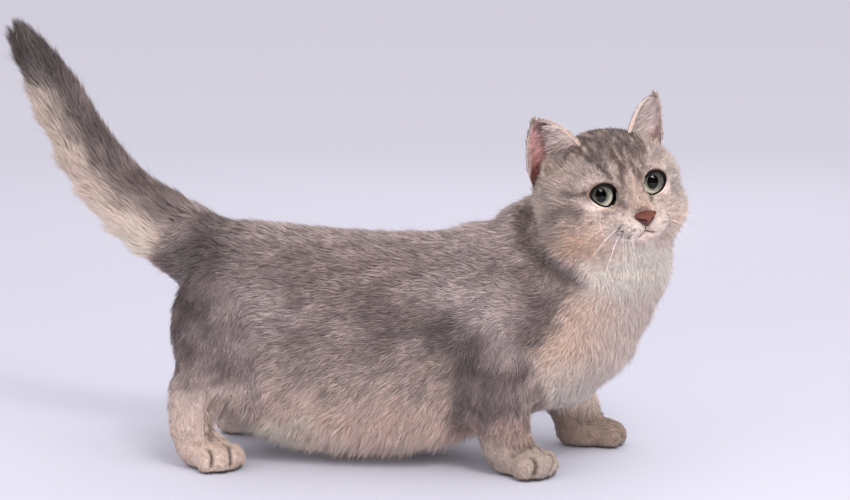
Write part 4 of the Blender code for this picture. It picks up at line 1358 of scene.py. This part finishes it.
# %% The edge of a lid
OPENING, LID_REACH, LID_POINT, LID_STEPS = (0.0105, 0.0079), 0.0126, 0.22, 72
LID_SECTION = ((-0.0002, 0.0123), (0.0005, 0.0131), (0.0012, 0.0136), (0.0022, 0.0137), (0.0032, 0.0125),
               (0.0026, 0.0119), (0.0004, 0.0119))
lid_finish = Finish("dark lid rim", Base_Color=(*tone(22, 15, 14), 1), Roughness=0.55,
                    Specular_IOR_Level=0.2).material
lids_finish = painted_finish("lids", Roughness=0.6).material


def lid_line(side, turn, wider=0.0, reach=LID_REACH):
    """A place on the lid's edge. turn is 0 at the outer corner and a quarter of a turn at the top."""
    out = (OPENING[0] + wider) * math.cos(turn) * (1 + 0.14 * max(0.0, -math.cos(turn)) ** 5)
    up = (OPENING[1] + wider) * math.sin(turn) * abs(math.sin(turn)) ** LID_POINT + LID_SLANT * out - LID_DROP
    out -= LID_SHIFT
    return EYES[side] + HEAD @ Vector((math.sqrt(max(reach ** 2 - out ** 2 - up ** 2, 1e-6)), side * out, up))


def rim_radius(turn):
    """The dark rim is thickest above and at the inner corner."""
    above, inner, outer = max(0, math.sin(turn)), max(0, -math.cos(turn)), max(0, math.cos(turn))
    return 0.00070 + 0.00070 * above + 0.0009 * inner ** 2 + 0.0003 * outer ** 3


# %% Lids
def lids(side):
    """Both lids of one eye as one closed ring, with a colour for each of its points."""
    bm = bmesh.new()
    turns = [math.tau * n / LID_STEPS for n in range(LID_STEPS)]
    rings = [[bm.verts.new(lid_line(side, turn, *section)) for section in LID_SECTION] for turn in turns]
    for low, high in zip(rings, rings[1:] + rings[:1]):
        for k in range(len(low)):
            m = (k + 1) % len(low)
            bm.faces.new((low[k], low[m], high[m], high[k]))
    above = np.repeat([math.sin(turn) for turn in turns], len(LID_SECTION))
    inner = np.repeat([-math.cos(turn) for turn in turns], len(LID_SECTION))
    row = np.tile(np.arange(len(LID_SECTION)), LID_STEPS)
    # Pale below: partly the lower lid's own colour and partly a painted highlight.
    return bm, painted(
        plain(tone(224, 200, 190), len(row)),
        (step(-0.75, -0.15, above), tone(132, 108, 98)),
        (step(-0.35, 0.2, above) * step(2.6, 0.6, row), tone(34, 25, 22)),
        (step(0.35, 0.75, inner) * 0.95, tone(52, 40, 38)),
        ((row < 1) * 1.0, tone(44, 32, 30)))


for side in (-1, 1):
    word = "left" if side > 0 else "right"
    turns = np.linspace(0, math.tau, LID_STEPS, endpoint=False)
    rim = [(lid_line(side, turn), rim_radius(turn)) for turn in turns]
    tubes(f"lid_rim_{word}", [rim], 8, lid_finish, closed=True)
    ring, ring_colours = lids(side)
    bmesh.ops.recalc_face_normals(ring, faces=ring.faces)
    made = new_piece(f"lids_{word}", ring)
    paint(made, ring_colours)
    made.data.materials.append(lids_finish)
    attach(made, BODY)
print("points of one lid ring:", len(ring_colours))

# %% Pale rims of the ears
INNER_RIM, OUTER_RIM = 0.0007, 0.0004
ear_rim_finish = Finish("ear rim", Base_Color=(*tone(214, 190, 178), 1), Roughness=0.8).material


def ear_rim_run(side, edge, radius):
    """A pale line along one edge of an ear, thinner towards the tip."""
    return [(ear_point(side, edge, t, 0.6), radius * (1 - 0.5 * t)) for t in np.linspace(0.0, 0.95, 24)]


edges_of_ear = ((0.0, INNER_RIM), (1.0, OUTER_RIM))
runs = [ear_rim_run(side, edge, radius) for side in (-1, 1) for edge, radius in edges_of_ear]
tubes("ear_rims", runs, 8, ear_rim_finish)
print("pale ear rims:", len(runs))

# %% [markdown]
# ## Nose and lips
#
# The nose leather is a rounded wedge, wide and flat on top and narrow below, with a groove down its middle
# and two comma-shaped nostrils that open to the sides. A ball is squeezed to that shape by soft strokes,
# and the same strokes paint shade into its hollows. Its sides and underside get painted shade and its top a
# painted highlight. Under it the lips meet in a short line that parts to both sides.

# %% The shape of the nose
NOSE_TIP, NOSE_HALF, NOSE_LEAN = Vector((0.0595, 0.0, -0.0208)), Vector((0.0056, 0.0086, 0.0068)), 0.30
NOSTRIL = ((0.84, 0.42, -0.16), (0.64, 0.74, -0.06), (0.25, 0.98, 0.04))
bm = bmesh.new()
bmesh.ops.create_icosphere(bm, subdivisions=6, radius=1.0)
shape = np.array([v.co for v in bm.verts])
half = mirrored(shape)
pit = np.maximum(1.0 * stroke(half, NOSTRIL[0], NOSTRIL[1], 0.20), stroke(half, NOSTRIL[1], NOSTRIL[2], 0.17))
groove = np.exp(-(shape[:, 1] / 0.07) ** 2) * step(0.25, -0.45, shape[:, 2])
narrow = 0.16 + 0.84 * step(-1.05, 0.30, shape[:, 2])
sunk = 1 - 0.34 * pit - 0.08 * groove
top = np.minimum(shape[:, 2], 0.34)
sized = np.column_stack((shape[:, 0] * sunk, shape[:, 1] * narrow * (0.5 + 0.5 * sunk),
                         top * (0.4 + 0.6 * sunk)))
sized *= np.array(NOSE_HALF)
place = Matrix.Translation(HEAD_MIDDLE) @ HEAD.to_4x4()
place = place @ Matrix.Translation(NOSE_TIP - Vector((NOSE_HALF[0], 0, 0)))
place = place @ Matrix.Rotation(NOSE_LEAN, 4, "Y")
for vert, here in zip(bm.verts, sized):
    vert.co = place @ Vector(here)
nose = new_piece("nose_leather", bm)
print("points of the nose:", len(shape))

# %% The look of the nose
# Painted light and shade on the nose: darker sides and underside, a lighter top as a painted highlight, and
# painted shade in the nostrils and the groove.
paint(nose, painted(
    plain(tone(112, 66, 57), len(shape)),
    (0.7 * step(0.62, 0.98, np.abs(shape[:, 1])), tone(84, 46, 42)),
    (0.9 * step(0.0, -0.7, shape[:, 2]), tone(80, 46, 42)),
    (0.30 * step(0.1, 0.5, shape[:, 2]), tone(134, 78, 66)),
    (np.clip(pit * 1.5 - 0.25, 0, 1), tone(38, 20, 18)),
    (0.5 * groove, tone(96, 50, 46))))
leather = painted_finish("nose leather", Roughness=0.5, Specular_IOR_Level=0.3)
here = leather.node("TexCoord").out("Object")
leather.bump(leather.node("TexVoronoi", {}, {"Vector": here, "Scale": 1900.0}).out("Distance"), 0.00015, 0.6)
nose.data.materials.append(leather.material)
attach(nose, BODY)
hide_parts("nose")

# %% Lips
LIP_RADIUS, SEAM_RADIUS = 0.00058, 0.00042
lip_finish = Finish("lip line", Base_Color=(*tone(104, 70, 66), 1), Roughness=0.7).material
on_body = BVHTree.FromObject(body_skin, bpy.context.evaluated_depsgraph_get())


def on_face(left, up, above=0.0):
    """The place on the skin straight in front of which a point of the face plan lies."""
    hit = on_body.ray_cast(in_head(0.12, left, up), HEAD @ Vector((-1, 0, 0)))[0]
    return (hit if hit is not None else in_head(0.04, left, up)) + HEAD @ Vector((above, 0, 0))


def lip(side):
    """The lip's edge on one side, thinner towards its end."""
    places = []
    for (left, up), (next_left, next_up) in zip(MOUTH[1:3], MOUTH[2:4]):
        for t in (0.0, 0.33, 0.66):
            places.append(on_face(side * (left + (next_left - left) * t), up + (next_up - up) * t, 0.0003))
    return [(p, LIP_RADIUS * (1 - 0.6 * n / len(places))) for n, p in enumerate(places)]


seam = [(on_face(0.0, up, 0.0002), SEAM_RADIUS) for up in np.linspace(-0.0255, -0.0312, 7)]
tubes("lip_line", [seam, lip(-1), lip(1)], 6, lip_finish)
print("the mouth's seam is", round((0.0312 - 0.0255) * 1000, 1), "mm long")

# %% [markdown]
# ## Whiskers
#
# Whiskers are stiff white hairs that leave the pads in rows and bend under their own weight, with a few
# shorter ones above each eye. Each is a tube that thins to a point. Every row and place has a way and a
# length of its own.

# %% Whiskers
WHISKER_WAYS = (((-0.25, 0.90, -0.10), (0.0, 0.85, -0.35), (0.25, 0.60, -0.60), (0.35, 0.35, -0.80)),
                ((-0.10, 0.85, -0.35), (0.15, 0.65, -0.60), (0.30, 0.40, -0.80), (0.40, 0.20, -0.85)),
                ((0.05, 0.65, -0.70), (0.25, 0.40, -0.85), (0.35, 0.20, -0.90)))
WHISKER_LENGTHS = ((0.036, 0.044, 0.036, 0.022), (0.040, 0.046, 0.034, 0.020), (0.034, 0.030, 0.022))
BROW_HAIRS = ((0.013, 0.0165, -0.25), (0.017, 0.0180, 0.05), (0.021, 0.0175, 0.35))
LEFT_SHARE, LEFT_RAISE = 0.68, 0.30
whisker_finish = Finish("whisker", Base_Color=(*tone(246, 242, 240), 1), Roughness=0.35,
                        Specular_IOR_Level=0.4).material


def whisker(root, way, size, droop, thick):
    """A stiff hair that leaves along way and bends down towards its tip."""
    ways = [(way * size * t + Vector((0, 0, -droop * size * t * t)), t) for t in np.linspace(0, 1, 12)]
    return [(root + HEAD @ offset, thick * (1 - 0.85 * t)) for offset, t in ways]


runs = []
for side in (-1, 1):
    for row, n, root in whisker_roots():
        way = Vector(WHISKER_WAYS[row][n])
        way.z += LEFT_RAISE if side > 0 else 0.0
        way = Vector((way.x, side * way.y, way.z)).normalized()
        size = WHISKER_LENGTHS[row][n] * (LEFT_SHARE if side > 0 else 1.0)
        runs.append(whisker(in_head(root.x - 0.001, side * root.y, root.z), way, size, 0.35, 0.00012))
    for n, (left, up, lean) in enumerate(BROW_HAIRS):
        way = Vector((0.55, side * lean, 0.85)).normalized()
        runs.append(whisker(on_face(side * left, up), way, 0.020 + 0.003 * n, 0.5, 0.00010))
tubes("whiskers", runs, 5, whisker_finish)
print("whiskers and brow hairs:", len(runs))

# %% [markdown]
# ## Camera, floor and light
#
# A long lens from a little above stands where the photographer stood. The floor is plain and pale, and
# large soft lamps give the fur its gentle shading.

# %% Camera
CAMERA_AZIMUTH, CAMERA_RAISE, CAMERA_DISTANCE = math.radians(8), math.radians(8), 1.5
EYE_TO_TARGET = Vector((-0.14847, 0.03695, -0.05232))
target = EYE_MIDDLE + EYE_TO_TARGET
back = Vector((math.sin(CAMERA_AZIMUTH) * math.cos(CAMERA_RAISE),
               -math.cos(CAMERA_AZIMUTH) * math.cos(CAMERA_RAISE), math.sin(CAMERA_RAISE)))


def facing(place, away):
    """The matrix of a camera or lamp that stands at a place and looks against the direction away."""
    return Matrix.Translation(place) @ away.to_track_quat("Z", "Y").to_matrix().to_4x4()


camera = bpy.data.objects.new("camera", bpy.data.cameras.new("camera"))
camera.data.lens, camera.data.sensor_width, camera.data.clip_start = 85, 36, 0.05
camera.matrix_world = facing(target + back * CAMERA_DISTANCE, back)
bpy.context.scene.collection.objects.link(camera)
bpy.context.scene.camera = camera
bpy.context.scene.view_settings.view_transform = "Standard"
print("the camera stands", CAMERA_DISTANCE, "m from the cat")

# %% Floor and world
bm = bmesh.new()
bmesh.ops.create_grid(bm, x_segments=1, y_segments=1, size=30.0)
floor = new_piece("floor", bm, smooth=False)
floor_finish = Finish("pale floor", Roughness=0.9)
floor_place = floor_finish.node("TexCoord").out("Object")
far_away = (floor_finish.node("SeparateXYZ", {}, {0: floor_place}).out("Y") * 0.4 - 0.3).clamped()
floor_finish.feed(Base_Color=floor_finish.mix(far_away, (0.625, 0.64, 0.76, 1), (0.72, 0.73, 0.84, 1)))
floor.data.materials.append(floor_finish.material)
world = bpy.data.worlds.new("studio")
world.use_nodes = True
world.node_tree.nodes["Background"].inputs["Color"].default_value = (0.875, 0.83, 0.845, 1)
world.node_tree.nodes["Background"].inputs["Strength"].default_value = 1.12
world.cycles_visibility.glossy = False
bpy.context.scene.world = world


# %% Lamps
def soft_light(name, place, size, power, mirrored_in_eyes=False):
    """A square lamp that faces the cat."""
    lamp = bpy.data.lights.new(name, "AREA")
    lamp.size, lamp.energy, lamp.color = size, power, (1.0, 0.965, 0.905)
    made = bpy.data.objects.new(name, lamp)
    made.visible_glossy = mirrored_in_eyes
    made.matrix_world = facing(Vector(place), (Vector(place) - target).normalized())
    bpy.context.scene.collection.objects.link(made)


soft_light("key", (0.75, -1.25, 1.65), 0.7, 12.5, mirrored_in_eyes=True)
soft_light("catch light", (0.75, -1.25, 1.60), 0.16, 3, mirrored_in_eyes=True)
soft_light("front", (0.1, -1.9, 0.35), 1.0, 6)
soft_light("side", (1.4, -0.9, 0.36), 0.6, 8.5)
soft_light("low", (-0.60, -1.0, 0.24), 0.4, 1.4)
soft_light("fill", (-1.3, -1.4, 1.1), 1.2, 5)
soft_light("back", (0.2, 1.6, 1.5), 1.4, 5)
